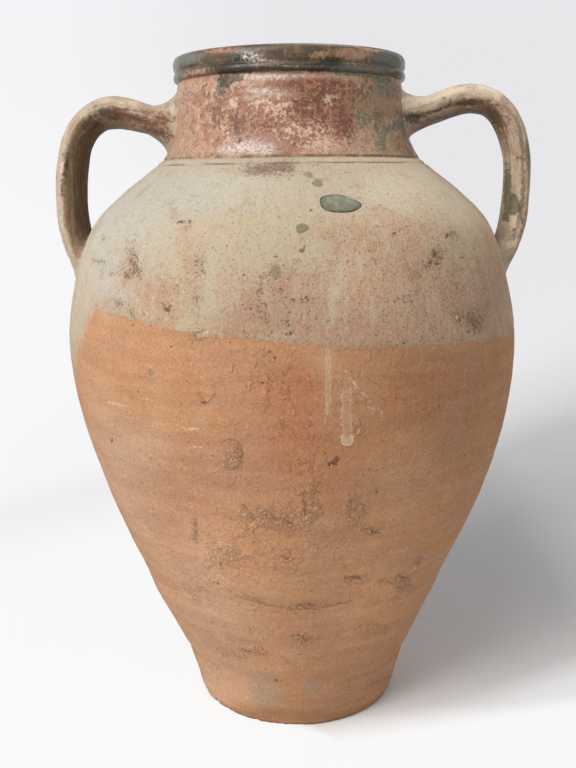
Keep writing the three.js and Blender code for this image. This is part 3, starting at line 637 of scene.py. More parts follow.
def skin_displacement(base, theta, level, pixels, face):
    """How far the skin stands out from the true turned form, in mm."""
    d = 0.16 * layered(base, 13, 11)
    for height, size, seed in SKIN_WAVES:
        d += height * noise(base, size, seed)
    below_rim = smoothstep(540, 520, level)
    d *= 0.35 + 0.65 * below_rim
    rough = np.minimum(rough_places(base, pixels, face, 0.4), 1)
    d += rough * below_rim * (0.4 * noise(base, 6.5, 15) + 0.5 * noise(base, 3.3, 17))
    d -= 0.2 * smoothstep(0, 1.5, edge_marks(pixels, DARK_SPOTS, face))
    aside, strength = line_marks(pixels, CRACKS_AND_SEAM_SHADOW, face)
    d -= 0.3 * strength * gauss(aside, 1.5)
    d += 0.22 * smoothstep(-0.8, 0.8, slip_height(theta, level))
    d += 0.3 * smoothstep(-0.5, 2.5, edge_marks(pixels, TEAL_GLAZE, face))
    d -= 0.3 * smoothstep(0, 1.5, edge_marks(pixels, CHIP_SPOTS, face))
    sway = 0.8 * noise(base, 60, 31)
    for ring, out, width, share in RINGS:
        d += out * gauss(level - ring - share * sway, width)
    seam = level - (SEAM_LEVEL - 1) - 5 * noise(base, 90, 33) - 1.6 * noise(base, 14, 35)
    d += 0.5 * smoothstep(3.2, 0, np.abs(seam - 2.5)) * (0.4 + 0.6 * noise(base, 26, 37))
    d -= 0.45 * gauss(seam + 1.2, 1.6)
    d -= 0.8 * gauss(level - (WAIST_LEVEL - 1) - 2 * noise(base, 50, 39), 5.5)
    worn_foot = smoothstep(9, 0, level) * smoothstep(-0.1, 0.6, layered(base, 16, 41))
    chipped_rim = smoothstep(0.42, 0.62, layered(base, 11, 43)) * smoothstep(552, 557, level)
    x = pixels[:, 0]
    rim_step = smoothstep(362, 366, x) * smoothstep(404, 372, x) * smoothstep(556, 559.5, level) * face
    return d - 1.1 * worn_foot - 0.9 * rim_step - 0.5 * chipped_rim


def skin_world(theta, at):
    """The finished skin at azimuths and lengths along the outline: its points in mm, directions out of it,
    its pixels, how much it faces the camera, and the same places on the true turned form."""
    point, out = line_point(at), line_out(at)
    base = turned(point[:, 0], theta, point[:, 1])
    normal = turned(out[:, 0], theta, out[:, 1])
    world = settle(base)
    pixels = to_pixels(world)
    face = faces_camera(world, normal)
    points = world + normal * skin_displacement(base, theta, point[:, 1], pixels, face)[:, None]
    points[:, 2] = np.maximum(points[:, 2], 0)
    return points, normal, pixels, face, base


# Attributes that the materials read, three values to each, and their values on the unseen side of a wall
def body_marks(base, level, theta, pixels, face):
    behind = 1 - face
    drip, drip_strength = drip_marks(pixels, face)
    scratch, scratch_strength = line_marks(pixels, SCRATCHES, face)
    crack_and_shadow_line, crack_and_shadow_strength = line_marks(pixels, CRACKS_AND_SEAM_SHADOW, face)
    warm = soft_marks(pixels, WARM_FIELDS) * (0.5 + 0.5 * face) + behind * 0.6 * noise(base, 80, 51)
    smudge_and_shade = soft_marks(pixels, SMUDGES_AND_SHADE) * face + 0.8 * behind * smoothstep(0.25, 0.7, layered(base, 30, 53))
    pink = np.minimum(soft_marks(pixels, PINK_FIELDS, 2.4), 1) * face
    pink += behind * smoothstep(430, 340, level) * smoothstep(-0.4, 0.3, noise(base, (70, 70, 90), 55))
    streak = soft_marks(pixels, PALE_STREAKS) * face
    streak += behind * smoothstep(0.2, 0.5, noise(base, (22, 22, 160), 57))
    mauve = np.clip(soft_marks(pixels, MAUVE_FIELDS) * face, 0, 1)
    return {
        "marks_a": three(slip_height(theta, level), edge_marks(pixels, DARK_SPOTS, face),
                         edge_marks(pixels, PALE_SPOTS, face)),
        "marks_b": np.clip(three(rough_places(base, pixels, face, 0.6), warm, smudge_and_shade), -1, 1),
        "marks_c": three(drip, drip_strength, edge_marks(pixels, GREY_SPOTS, face)),
        "marks_d": three(np.clip(pink, 0, 1), np.clip(streak, 0, 1), edge_marks(pixels, DROP_SPOTS, face)),
        "marks_e": three(soft_marks(pixels, PAINTED_LIGHT_FIELDS) * face, mauve, slip_height(theta, level, False)),
        "lines_a": three(scratch, scratch_strength, crack_and_shadow_line),
        "lines_b": three(crack_and_shadow_strength, level, 0 * level),
    }


def neck_marks(base, level, theta, pixels, face):
    behind = 1 - face
    upper = smoothstep(530, 546, level)
    olive = behind * (10 * layered(base, (34, 34, 22), 61) - 2 + 5 * upper)
    teal = behind * (10 * layered(base, (26, 26, 44), 63) - 5.5 + 2 * upper)
    blue = behind * (10 * layered(base, 40, 65) - 5 - 30 * (1 - upper))
    glazes = [np.maximum(edge_marks(pixels, spots, face), by_noise - FAR * face)
              for spots, by_noise in ((OLIVE_GLAZE, olive), (TEAL_GLAZE, teal), (BLUE_GLAZE, blue))]
    pale = soft_marks(pixels, NECK_PALE) * face + behind * (0.25 + 0.45 * noise(base, 30, 67))
    red = soft_marks(pixels, NECK_RED) * face + behind * (0.4 + 0.7 * noise(base, 42, 69))
    dark = soft_marks(pixels, NECK_DARK) * face + behind * 0.7 * smoothstep(0.1, 0.7, layered(base, 24, 71))
    tan_and_highlight = soft_marks(pixels, NECK_OCHRE) * face + behind * smoothstep(-0.1, 0.6, noise(base, 60, 73))
    tan_and_highlight += soft_marks(pixels, RIM_TAN_AND_HIGHLIGHT) * face * upper
    return {
        "glaze_a": three(*glazes),
        "glaze_b": np.clip(three(pale, red, dark), 0, 1.2),
        "glaze_c": three(np.clip(tan_and_highlight, 0, 1), np.clip(soft_marks(pixels, NECK_PAINTED_HIGHLIGHTS), 0, 1) * face,
                         edge_marks(pixels, CHIP_SPOTS, face)),
        "glaze_d": three(level, 0 * level, 0 * level),
    }


INNER_BODY = {"marks_a": (-30, -FAR, -FAR), "marks_b": (0.25, 0, 0), "marks_c": (-FAR, 0, -FAR),
              "marks_d": (0, 0, -FAR), "marks_e": (0, 0, -30), "lines_a": (LINE_FAR, 0, LINE_FAR),
              "lines_b": (0, 0, 0)}
INNER_NECK = {"glaze_a": (-FAR, -FAR, -FAR), "glaze_b": (0.3, 0.4, 0.2), "glaze_c": (0.4, 0, -FAR),
              "glaze_d": (0, 0, 0)}


def strap_marks(points, pixels, face, inner, along, around):
    behind = 1 - face
    red = soft_marks(pixels, STRAP_RED) * face + behind * (0.3 + 0.6 * noise(points, 26, 81))
    clouds = smoothstep(0.1, 0.5, layered(points, 22, 83))
    dark = soft_marks(pixels, STRAP_DARK_AND_SHADE) * face + behind * 0.8 * clouds
    pale = soft_marks(pixels, STRAP_PALE) * face + behind * 0.5 * smoothstep(0, 0.5, noise(points, 50, 85))
    return {
        "strap_a": three(np.clip(red, 0, 1), np.clip(dark, 0, 1), edge_marks(pixels, STRAP_TEAL, face, 3)),
        "strap_b": three(edge_marks(pixels, STRAP_GREY, face), np.clip(pale, 0, 1.2), inner),
        "strap_c": three(*line_marks(pixels, STRAP_LINES, face), 0 * inner),
        "strap_way": three(along, around, 0 * around),
    }


# Meshes
def make_object(name, points, faces, marks=None, normals=None):
    """A smooth mesh from points in mm and a list of face arrays, with marks as attributes of its points."""
    mesh = bpy.data.meshes.new(name)
    mesh.vertices.add(len(points))
    mesh.vertices.foreach_set("co", (points * MM).astype(np.float32).ravel())
    counts = np.concatenate([np.full(len(group), group.shape[1], np.int32) for group in faces])
    corners = np.concatenate([group.ravel() for group in faces]).astype(np.int32)
    mesh.loops.add(len(corners))
    mesh.loops.foreach_set("vertex_index", corners)
    mesh.polygons.add(len(counts))
    mesh.polygons.foreach_set("loop_start", (np.cumsum(counts) - counts).astype(np.int32))
    mesh.polygons.foreach_set("loop_total", counts)
    mesh.update(calc_edges=True)
    mesh.validate()
    mesh.polygons.foreach_set("use_smooth", np.ones(len(mesh.polygons), bool))
    for key, values in (marks or {}).items():
        layer = mesh.attributes.new(key, "FLOAT_VECTOR", "POINT")
        layer.data.foreach_set("vector", values.astype(np.float32).ravel())
    if normals is not None:
        mesh.normals_split_custom_set_from_vertices([tuple(n) for n in normals])
    obj = bpy.data.objects.new(name, mesh)
    bpy.context.scene.collection.objects.link(obj)
    return obj


def band_faces(rows, columns, closed=False):
    """Quads of a grid whose columns close round, and whose rows do too if it is closed."""
    i, j = np.meshgrid(np.arange(rows if closed else rows - 1), np.arange(columns), indexing="ij")
    low, high, side = i * columns, ((i + 1) % rows) * columns, (j + 1) % columns
    return np.stack([low + j, low + side, high + side, high + j], -1).reshape(-1, 4)


def fan_faces(first, columns, middle, last_row):
    """Triangles that close the ring of points at first, round a middle point."""
    j = np.arange(columns)
    fan = three(np.full(columns, middle), first + (j + 1) % columns, first + j)
    return fan[:, ::-1] if last_row else fan


def capped_faces(rows, columns, low_middle, high_middle):
    return [band_faces(rows, columns), fan_faces(0, columns, low_middle, False),
            fan_faces((rows - 1) * columns, columns, high_middle, True)]


def outline_rows(start, end, spacing, fine=(0, 0)):
    """Lengths along the outline from start to end, a spacing apart, or half a mm apart in the fine range."""
    at = [start]
    while at[-1] < end - 1e-6:
        at.append(at[-1] + (0.5 if fine[0] <= at[-1] < fine[1] else spacing))
    at = np.array(at)
    return start + (at - start) * (end - start) / (at[-1] - start)


def grid_normals(rows):
    """Normals of a grid of points, rows by columns, whose columns close round."""
    across = np.roll(rows, -1, 1) - np.roll(rows, 1, 1)
    up = np.concatenate([rows[1:2] - rows[:1], rows[2:] - rows[:-2], rows[-1:] - rows[-2:-1]])
    n = np.cross(across, up)
    return n / np.maximum(np.linalg.norm(n, axis=2, keepdims=True), 1e-9)


def straight(a, b, count):
    """Points between a and b, without either."""
    t = np.linspace(0, 1, count + 2)[1:-1, None]
    return np.array(a) * (1 - t) + np.array(b) * t


# Along the outline, in mm: from row to row on the slab's side, and to the rows added for normals at the ends
ROW_STEP = 0.8


def finished_skin(at, marks_of, row_before=True):
    """Rows of the jar's skin at lengths along the outline, with their normals and marks."""
    before = [at[0] - ROW_STEP] if row_before else []
    rows = np.concatenate([before, at, [at[-1] + ROW_STEP]])
    columns = len(ANGLES)
    theta = np.tile(ANGLES, len(rows))
    world, _, pixels, face, base = skin_world(theta, np.repeat(rows, columns))
    smooth = grid_normals(world.reshape(len(rows), columns, 3)).reshape(-1, 3)
    keep = slice(columns * len(before), -columns)
    level = np.repeat(line_point(at)[:, 1], columns)
    return world[keep], smooth[keep], marks_of(base[keep], level, theta[keep], pixels[keep], face[keep])


def inner_rows(rows, thrown):
    """Points of a wall's unseen side, from rows of radius and height; thrown says which rows show ripples."""
    columns = len(ANGLES)
    radius, height = np.repeat(rows, columns, 0).T
    points = turned(radius, np.tile(ANGLES, len(rows)), height)
    ripple = 0.35 * (noise(points, (150, 150, 9), 91) + noise(points, 40, 93))
    points[:, :2] *= (1 + ripple * np.repeat(thrown, columns) / np.maximum(radius, 1))[:, None]
    return settle(points)


def wall_object(name, skin, smooth, marks, inside, inner_marks, faces):
    """A piece of the wall from its finished skin and its unseen side."""
    unseen = {key: np.tile(values, (len(inside), 1)) for key, values in inner_marks.items()}
    marks = {key: np.vstack([values, unseen[key]]) for key, values in marks.items()}
    normals = np.vstack([smooth, np.zeros_like(inside)])
    return make_object(name, np.vstack([skin, inside]), faces, marks, normals)


def shell(name, start, end, inner, spacing, fine=(0, 0), marks_of=body_marks, inner_marks=INNER_BODY):
    """A closed section of the wall: finished skin outside, joint faces, and a thrown surface inside."""
    at = outline_rows(start, end, spacing, fine)
    joint = 2
    top, bottom = line_point(at[-1]), line_point(at[0])
    rest = np.vstack([straight(top, inner[0], joint), inner, straight(inner[-1], bottom, joint)])
    thrown = np.concatenate([np.zeros(joint), np.ones(len(inner)), np.zeros(joint)])
    faces = [band_faces(len(at) + len(rest), len(ANGLES), True)]
    return wall_object(name, *finished_skin(at, marks_of), inner_rows(rest, thrown), inner_marks, faces)


def base_disc(name):
    """The slab that the jar stands on: a closed disc with a worn edge."""
    edge = length_under(FOOT_EDGE)
    at = np.concatenate([outline_rows(LINE_AT[0], edge, 6.0),
                         outline_rows(edge, length_at(FLOOR_LEVEL), ROW_STEP)[1:]])
    top = np.array([(radius, FLOOR_LEVEL) for radius in (85, 78, 70, 50, 25, 3)])
    middles = settle([[0, 0, 0.6], [0, 0, FLOOR_LEVEL]])
    inside = np.vstack([inner_rows(top, np.zeros(len(top))), middles])
    rows = len(at) + len(top)
    faces = capped_faces(rows, len(ANGLES), rows * len(ANGLES), rows * len(ANGLES) + 1)
    return wall_object(name, *finished_skin(at, body_marks, False), inside, INNER_BODY, faces)


def inner_line(low, high, spacing):
    """Inner wall points from the top level down to the low one."""
    out = []
    for level in np.linspace(high, low, max(3, int((high - low) / spacing))):
        at = length_at(level)
        out.append(line_point(at) - WALL * line_out(at))
    return np.array(out)


# Handles
def handle_path(handle):
    """A strap's dense centre line as radius, height, half thickness, the share of its length, its direction,
    and the radius at which it leaves the neck."""
    apex, landing = COLLAR_LEVEL + handle["apex"], COLLAR_LEVEL - handle["landing"]
    drop = apex - landing
    start = radius_at(apex - handle["path"][0][1] * drop)
    reach = radius_at(landing) + handle["stand_off"] - start
    points = [(start + out * reach, apex - down * drop, share * handle["thick"] / 2)
              for out, down, share in handle["path"]]
    first = np.array(points[0]) - (HANDLE_BITE, 0, 0)
    last = np.array(points[-1]) - (HANDLE_BITE, HANDLE_BITE, 0)
    dense, at = curve_through([first, *points, last], 20)
    way = np.gradient(dense[:, :2], axis=0)
    way /= np.linalg.norm(way, axis=1)[:, None]
    return dense, at / at[-1], way, start


def strap_points(handle, path, share, angle, grow):
    """Points of the strap's skin, grown outwards, before it is settled."""
    dense, at, way, _ = path
    share, angle = np.broadcast_arrays(np.asarray(share, float), np.asarray(angle, float))
    radius, height, half, along_x, along_z = [np.interp(share, at, values) for values in (*dense.T, *way.T)]
    half = half + grow
    length = np.hypot(along_x, along_z)
    c, s = np.cos(angle), np.sin(angle)
    power = 2 / ROUNDNESS
    ridge = handle["ridge"]
    reach = np.where(c > 0, 2 * ridge * half, 2 * (1 - ridge) * half)
    out = np.sign(c) * np.abs(c) ** power * reach + (1 - 2 * ridge) * half
    aside = np.sign(s) * np.abs(s) ** power * (handle["width"] / 2 + grow)
    x = radius - along_z / length * out
    return np.stack([handle["side"] * x, aside, height + along_x / length * out], -1)


def dress_strap(grid, flip, amount, inner, angle):
    """Roughens a grid of rings along its normals; returns its points and marks."""
    normal = grid_normals(grid).reshape(-1, 3) * (-1 if flip else 1)
    flat = grid.reshape(-1, 3)
    pixels = to_pixels(settle(flat))
    face = faces_camera(settle(flat), normal)
    x, y = pixels.T
    lumps = smoothstep(440, 480, x) * smoothstep(524, 505, x) * smoothstep(150, 120, y) * face
    d = 0.35 * noise(flat, 30, 101) + 0.22 * layered(flat, 11, 103) + 0.09 * noise(flat, 4, 105)
    d += 0.06 * noise(flat, 2.4, 107) + 0.6 * lumps * noise(flat, 6.5, 111)
    d -= 0.9 * smoothstep(0, 1.5, edge_marks(pixels, STRAP_CRATERS, face))
    line, line_strength = line_marks(pixels, STRAP_LINES, face)
    d += line_strength * (0.35 * gauss(line - 2.6, 1.4) - 0.6 * gauss(line, 1.3))
    flat = flat + normal * (d * amount.reshape(-1))[:, None]
    world = settle(flat)
    steps = np.linalg.norm(np.diff(grid, axis=0), axis=2).mean(1)
    along = np.repeat(np.concatenate([[0], np.cumsum(steps)]), grid.shape[1])
    around = np.tile(18 * np.sin(angle) + 40 * (np.cos(angle) < 0), grid.shape[0])
    return world, strap_marks(flat, to_pixels(world), face, inner.reshape(-1), along, around)


def loft_object(name, grid, flip, amount, inner, angle):
    """A closed tube from a grid of rings, roughened where amount says."""
    world, marks = dress_strap(grid, flip, amount, inner, angle)
    rows, columns = grid.shape[:2]
    points = np.vstack([world, world[:columns].mean(0), world[-columns:].mean(0)])
    faces = capped_faces(rows, columns, len(world), len(world) + 1)
    if flip:
        faces = [group[:, ::-1] for group in faces]
    marks = {key: np.vstack([values, np.tile(values.mean(0), (2, 1))]) for key, values in marks.items()}
    return make_object(name, points, faces, marks)


def inner_side(handle, share, angle):
    """How far a place on the strap faces the jar, 0 to 1, as strongly as its patina and painted shade show
    there.
    """
    return smoothstep(*handle["inner_stain_and_shade_edge"], -np.cos(angle)) * np.interp(share, *handle["inner_stain_and_shade"])


def strap_object(handle):
    rows, columns = 190, 120
    share = np.linspace(0, 1, rows)[:, None]
    angle = np.linspace(0, 2 * math.pi, columns, endpoint=False)
    grid = strap_points(handle, handle_path(handle), share, angle[None, :], 0)
    amount = np.repeat(smoothstep(0, 0.03, share) * smoothstep(1, 0.97, share), columns, 1)
    inner = inner_side(handle, share, angle[None, :])
    return loft_object(handle["name"] + "_strap", grid, handle["side"] > 0, amount, inner, angle)


WAD_STEPS = 26
WAD_ANGLES = np.linspace(0, 2 * math.pi, 96, endpoint=False)


def wad_object(name, handle, path, ring_share, level, aside, middle, upward):
    """Clay pressed round a handle's root: a web from a ring on the strap to a loop sunk in the skin."""
    def on_skin(y, z):
        radius = radius_at(z) - 0.9
        return three(handle["side"] * np.sqrt(np.maximum(radius**2 - y**2, 1)), y, z)

    foot = on_skin(aside, level)
    into = foot - on_skin(aside * 0.99, level + (middle - level) * 0.01)
    into /= np.linalg.norm(into, axis=-1, keepdims=True)
    top = strap_points(handle, path, ring_share, WAD_ANGLES, -0.25)
    leave = strap_points(handle, path, ring_share + (-0.01 if upward else 0.01), WAD_ANGLES, -0.05) - top
    span = np.linalg.norm(foot - top, axis=1)[:, None]
    leave = leave / np.linalg.norm(leave, axis=1)[:, None] * span
    inward = foot * (-1, -1, 0)
    inward /= np.linalg.norm(inward, axis=1)[:, None]
    t = np.linspace(0, 1, WAD_STEPS)
    web = [hermite(k, top, foot, leave, into * span) for k in t]
    grid = np.stack([top - leave * 0.04, *web, foot + inward * 4])
    t = np.concatenate([[0], t, [1]])[:, None]
    amount = np.repeat(smoothstep(0, 0.25, t) * smoothstep(1, 0.7, t), len(WAD_ANGLES), 1)
    inner = inner_side(handle, ring_share, WAD_ANGLES) * (1 - smoothstep(0.3, 1, t))
    return loft_object(name, grid, (handle["side"] > 0) != upward, amount, inner, WAD_ANGLES)


def upper_wad(handle):
    path = handle_path(handle)
    dense, at, _, start = path
    share = at[np.argmax(dense[:, 0] > start + UPPER_WRAP["reach"])]
    middle = dense[np.argmax(dense[:, 0] > start), 1]
    up = np.cos(WAD_ANGLES)
    highest, lowest = NECK_LEVEL - 0.6, COLLAR_LEVEL + handle["fall"]
    level = middle + up * np.where(up > 0, highest - middle, middle - lowest)
    aside = np.sin(WAD_ANGLES) * (handle["width"] / 2 + UPPER_WRAP["side"])
    return wad_object(handle["name"] + "_neck_joint", handle, path, share + 0 * up, level, aside, middle, True)


def lower_wad(handle):
    path = handle_path(handle)
    dense, at, _, _ = path
    landing = COLLAR_LEVEL - handle["landing"]
    late = np.arange(len(at)) > len(at) * 0.5
    outer = at[np.argmax(late & (dense[:, 1] < landing + LOWER_WRAP["outer"]))]
    inner = at[np.argmax(late & (dense[:, 1] < landing + handle["fork"] + LOWER_WRAP["inner"]))]
    down = np.cos(WAD_ANGLES)
    ring = outer + (1 - down) / 2 * (inner - outer)
    level = landing - down * np.where(down > 0, LOWER_WRAP["tail"], handle["fork"])
    aside = np.sin(WAD_ANGLES) * (handle["width"] / 2 + LOWER_WRAP["side"])
    return wad_object(handle["name"] + "_shoulder_joint", handle, path, ring, level, aside, landing, False)


# Thick drops of glaze, lenses on the shoulder: the pixel of the middle, half sizes and rise in mm, and turn
GLAZE_DROPS = {
    "glaze_drop_large": {"pixel": (339.5, 203.5), "half": (15.2, 10.3), "turn": -14, "rise": 0.9, "thin": 0,
                         "seed": 0.6},
    "glaze_drop_upper": {"pixel": (317.5, 183.5), "half": (4.6, 3.2), "turn": -20, "rise": 0.5, "thin": 1,
                         "seed": 5},
    "glaze_drop_lower": {"pixel": (302, 228), "half": (4.4, 4.4), "turn": 0, "rise": 0.45, "thin": 0.8,
                         "seed": 7},
}
DROP_DEPTH = 1.2


def drop_object(name, drop):
    azimuth, level = pixel_to_skin(*drop["pixel"])
    at, theta = length_at(level), math.radians(azimuth)
    rings, sides = 16, 72
    turns = np.linspace(0, 2 * math.pi, sides, endpoint=False)
    reach, angle = np.meshgrid(np.linspace(0, 1, rings)[1:], turns,
                               indexing="ij")
    seed = drop["seed"]
    wobble = 1 + 0.07 * np.sin(2 * angle + seed) + 0.05 * np.sin(3 * angle + 2 * seed)
    wobble = wobble + 0.03 * np.sin(5 * angle)
    u = reach * wobble * np.cos(angle) * drop["half"][0]
    v = reach * wobble * np.sin(angle) * drop["half"][1]
    turn = math.radians(drop["turn"])
    across = u * math.cos(turn) - v * math.sin(turn)
    up = u * math.sin(turn) + v * math.cos(turn)
    lift = drop["rise"] * (1 - reach**6) - 0.35 * reach**12
    world, normal, *_ = skin_world((theta + across / radius_at(level)).ravel(), (at + up).ravel())
    middle, out, *_ = skin_world(np.array([theta]), np.array([at]))
    points = np.vstack([world + normal * lift.reshape(-1, 1), world[-sides:] - normal[-sides:] * DROP_DEPTH,
                        middle + out * drop["rise"], middle - out * DROP_DEPTH])
    faces = [group[:, ::-1] for group in capped_faces(rings, sides, rings * sides, rings * sides + 1)]
    reach = np.concatenate([reach.ravel(), np.ones(sides), [0, 1]])
    marks = three(reach, 0 * reach + drop["thin"], 0 * reach)
    return make_object(name + "_glaze", points, faces, {"drop": marks})


# Materials
def colour(red, green, blue):
    """Linear colour of an sRGB one, 0 to 255."""
    shares = (red / 255, green / 255, blue / 255)
    return (*[v / 12.92 if v <= 0.04045 else ((v + 0.055) / 1.055) ** 2.4 for v in shares], 1.0)


CLAY = colour(188, 138, 98)
CLAY_LIGHT = colour(198, 160, 130)
CLAY_RED = colour(182, 118, 80)
CLAY_PINK = colour(180, 136, 110)
CLAY_BROWN = colour(134, 95, 64)
CLAY_RUSSET = colour(154, 105, 70)
CLAY_DARK = colour(84, 56, 38)
CLAY_DUST = colour(216, 181, 150)
CLAY_CREASE = colour(106, 70, 46)
SLIP_CREAM = colour(190, 174, 147)
SLIP_GREY = colour(186, 181, 167)
SLIP_PINK = colour(184, 149, 123)
SLIP_THIN = colour(186, 140, 108)
SLIP_BROWN = colour(140, 112, 86)
SLIP_DIRT = colour(128, 106, 82)
SLIP_SPECK = colour(104, 76, 55)
SLIP_MAUVE = colour(148, 119, 108)
WHITE_WASH = colour(220, 194, 166)
ASH_GREY = colour(150, 144, 124)
NECK_TAN = colour(184, 147, 121)
NECK_REDDISH = colour(152, 94, 66)
NECK_DEEP = colour(92, 56, 41)
NECK_PINK = colour(218, 180, 158)
OCHRE = colour(142, 116, 84)
SMOKE = colour(104, 84, 64)
OLIVE = colour(40, 36, 23)
OLIVE_BROWN = colour(86, 73, 56)
RIM_BROWN = colour(124, 99, 76)
TAN_PINK = colour(168, 130, 101)
TEAL = colour(76, 84, 66)
TEAL_PALE = colour(148, 158, 130)
BLUE_GREY = colour(96, 97, 93)
CHIP = colour(190, 140, 108)
# Colour of the painted highlights on the glaze
PAINTED_HIGHLIGHT = colour(226, 214, 204)
STRAP_CREAM = colour(184, 164, 142)
STRAP_PALE_CLAY = colour(232, 212, 184)
STRAP_TAN = colour(164, 132, 103)
STRAP_RED_BROWN = colour(122, 72, 50)
STRAP_SHADE = colour(84, 62, 44)
# Patina with painted shade, on the side of the straps that faces the jar
STRAP_DEEP_STAIN_AND_SHADE = colour(84, 65, 46)
STRAP_STAIN_AND_SHADE = colour(126, 100, 74)
STRAP_GREEN = colour(78, 86, 50)
DROP_GREEN = colour(102, 105, 80)
DROP_RIM = colour(70, 62, 42)
DROP_THIN = colour(140, 124, 98)
PAPER = colour(248, 248, 249)
PAPER_GREY = colour(243, 243, 245)
BACKDROP_PALE = colour(248, 248, 251)
BACKDROP_DIM = colour(231, 231, 234)
ROOM_PALE = colour(232, 232, 235)
WHITE = colour(255, 255, 255)

# Stretches of a noise: drawn out downwards, or round the jar as a wheel leaves it
DOWNWARDS = (1.0, 1.0, 0.1)
PARTLY_DOWN = (1.0, 1.0, 0.2)
ROUND = (0.12, 0.12, 1.0)


class Paint:
    """A node material whose base colour is built up one coat at a time. Sizes of noises are in mm."""

    def __init__(self, name, base):
        self.material = bpy.data.materials.new(name)
        self.material.use_nodes = True
        self.tree = self.material.node_tree
        self.tree.nodes.clear()
        self.base = base
        self.surface = self.node("BsdfPrincipled")
        self.output = self.node("OutputMaterial")
        self.put(self.output.inputs["Surface"], self.surface.outputs["BSDF"])
        self.place = self.stretch(self.node("TexCoord").outputs["Object"], (1 / MM, 1 / MM, 1 / MM))

    def node(self, kind):
        return self.tree.nodes.new("ShaderNode" + kind)

    def put(self, socket, value):
        if isinstance(value, bpy.types.NodeSocket):
            self.tree.links.new(value, socket)
        else:
            socket.default_value = value

    def stretch(self, vector, factors):
        node = self.node("VectorMath")
        node.operation = "MULTIPLY"
        self.put(node.inputs[0], vector)
        node.inputs[1].default_value = factors
        return node.outputs[0]

    def split(self, vector):
        node = self.node("SeparateXYZ")
        self.put(node.inputs[0], vector)
        return node.outputs

    def attribute(self, name):
        node = self.node("Attribute")
        node.attribute_name = name
        return node.outputs["Vector"]

    def marks(self, name):
        return self.split(self.attribute(name))

    def noise(self, size, detail=3.0, rough=0.55, factors=None, place=None):
        node = self.node("TexNoise")
        place = place or self.place
        self.put(node.inputs["Vector"], self.stretch(place, factors) if factors else place)
        node.inputs["Scale"].default_value = 1.0 / size
        node.inputs["Detail"].default_value = detail
        node.inputs["Roughness"].default_value = rough
        return node.outputs[0]

    def cells(self, size):
        node = self.node("TexVoronoi")
        self.put(node.inputs["Vector"], self.place)
        node.inputs["Scale"].default_value = 1.0 / size
        return node.outputs["Distance"]

    def ramp(self, value, low, high, to_low=0.0, to_high=1.0):
        node = self.node("MapRange")
        node.interpolation_type = "SMOOTHSTEP"
        for socket, setting in zip(node.inputs, (value, low, high, to_low, to_high)):
            self.put(socket, setting)
        return node.outputs[0]

    def sway(self, noise, reach):
        """A noise brought to either side of 0."""
        return self.ramp(noise, 0.3, 0.7, -reach, reach)

    def maths(self, operation, *parts):
        total = parts[0]
        for part in parts[1:]:
            node = self.node("Math")
            node.operation = operation
            self.put(node.inputs[0], total)
            self.put(node.inputs[1], part)
            total = node.outputs[0]
        return total

    def add(self, *parts):
        return self.maths("ADD", *parts)

    def less(self, *parts):
        return self.maths("SUBTRACT", *parts)

    def times(self, *parts):
        return self.maths("MULTIPLY", *parts)

    def most(self, *parts):
        return self.maths("MAXIMUM", *parts)

    def size(self, value):
        return self.most(value, self.less(0.0, value))

    def weigh(self, *pairs):
        return self.add(*[self.times(value, weight) for value, weight in pairs])

    def mix(self, below, over, amount):
        node = self.node("Mix")
        node.data_type = "RGBA"
        self.put(node.inputs[0], amount)
        self.put(node.inputs[6], below)
        self.put(node.inputs[7], over)
        return node.outputs[2]

    def coat(self, over, *amounts):
        """Lays a colour over the base, as strongly as all the amounts together."""
        self.base = self.mix(self.base, over, self.times(*amounts))

    def veil(self, over, value, low, high, most):
        """Lays a colour over the base where a value goes from low to high."""
        self.coat(over, self.ramp(value, low, high, 0.0, most))

    def shade(self, factor):
        """Makes the base lighter or darker by a factor."""
        node = self.node("VectorMath")
        node.operation = "SCALE"
        self.put(node.inputs[0], self.base)
        self.put(node.inputs["Scale"], factor)
        self.base = node.outputs[0]

    def creases(self, size, width):
        """Thin winding lines, as in clay that was dragged while stiff."""
        return self.ramp(self.size(self.less(self.noise(size, 2, 0.5), 0.5)), width * 0.3, width, 1.0, 0.0)

    def ring(self, level, at, low, high):
        """A line round the jar at a level."""
        return self.ramp(self.size(self.less(level, at)), low, high, 1.0, 0.0)

    def field(self, amount, size, spread=0.45, low=0.3, high=0.7):
        """A given field with its edge broken up by noise."""
        return self.ramp(self.add(amount, self.sway(self.noise(size, 4, 0.6), spread)), low, high)

    def patch(self, inside, size, spread, soft=0.8):
        """A given patch, from its distance inside, with a ragged edge."""
        return self.ramp(self.add(inside, self.sway(self.noise(size, 4, 0.65), spread)), -soft, soft)

    def line(self, aside, strength, wander, gaps):
        """A drawn line that wanders a little and breaks off in places."""
        moved = self.add(aside, self.sway(self.noise(3.5, 3), wander))
        thick = self.ramp(self.size(moved), 0.5, 1.6, 1.0, 0.0)
        return self.times(thick, strength, self.ramp(self.noise(2.6, 3), gaps, gaps + 0.1))

    def finish(self, rough, height, depth, specular):
        bump = self.node("Bump")
        bump.inputs["Strength"].default_value = 1.0
        bump.inputs["Distance"].default_value = depth
        self.put(bump.inputs["Height"], height)
        self.put(self.surface.inputs["Normal"], bump.outputs["Normal"])
        self.put(self.surface.inputs["Base Color"], self.base)
        self.put(self.surface.inputs["Roughness"], rough)
        self.surface.inputs["Specular IOR Level"].default_value = specular
        return self.material


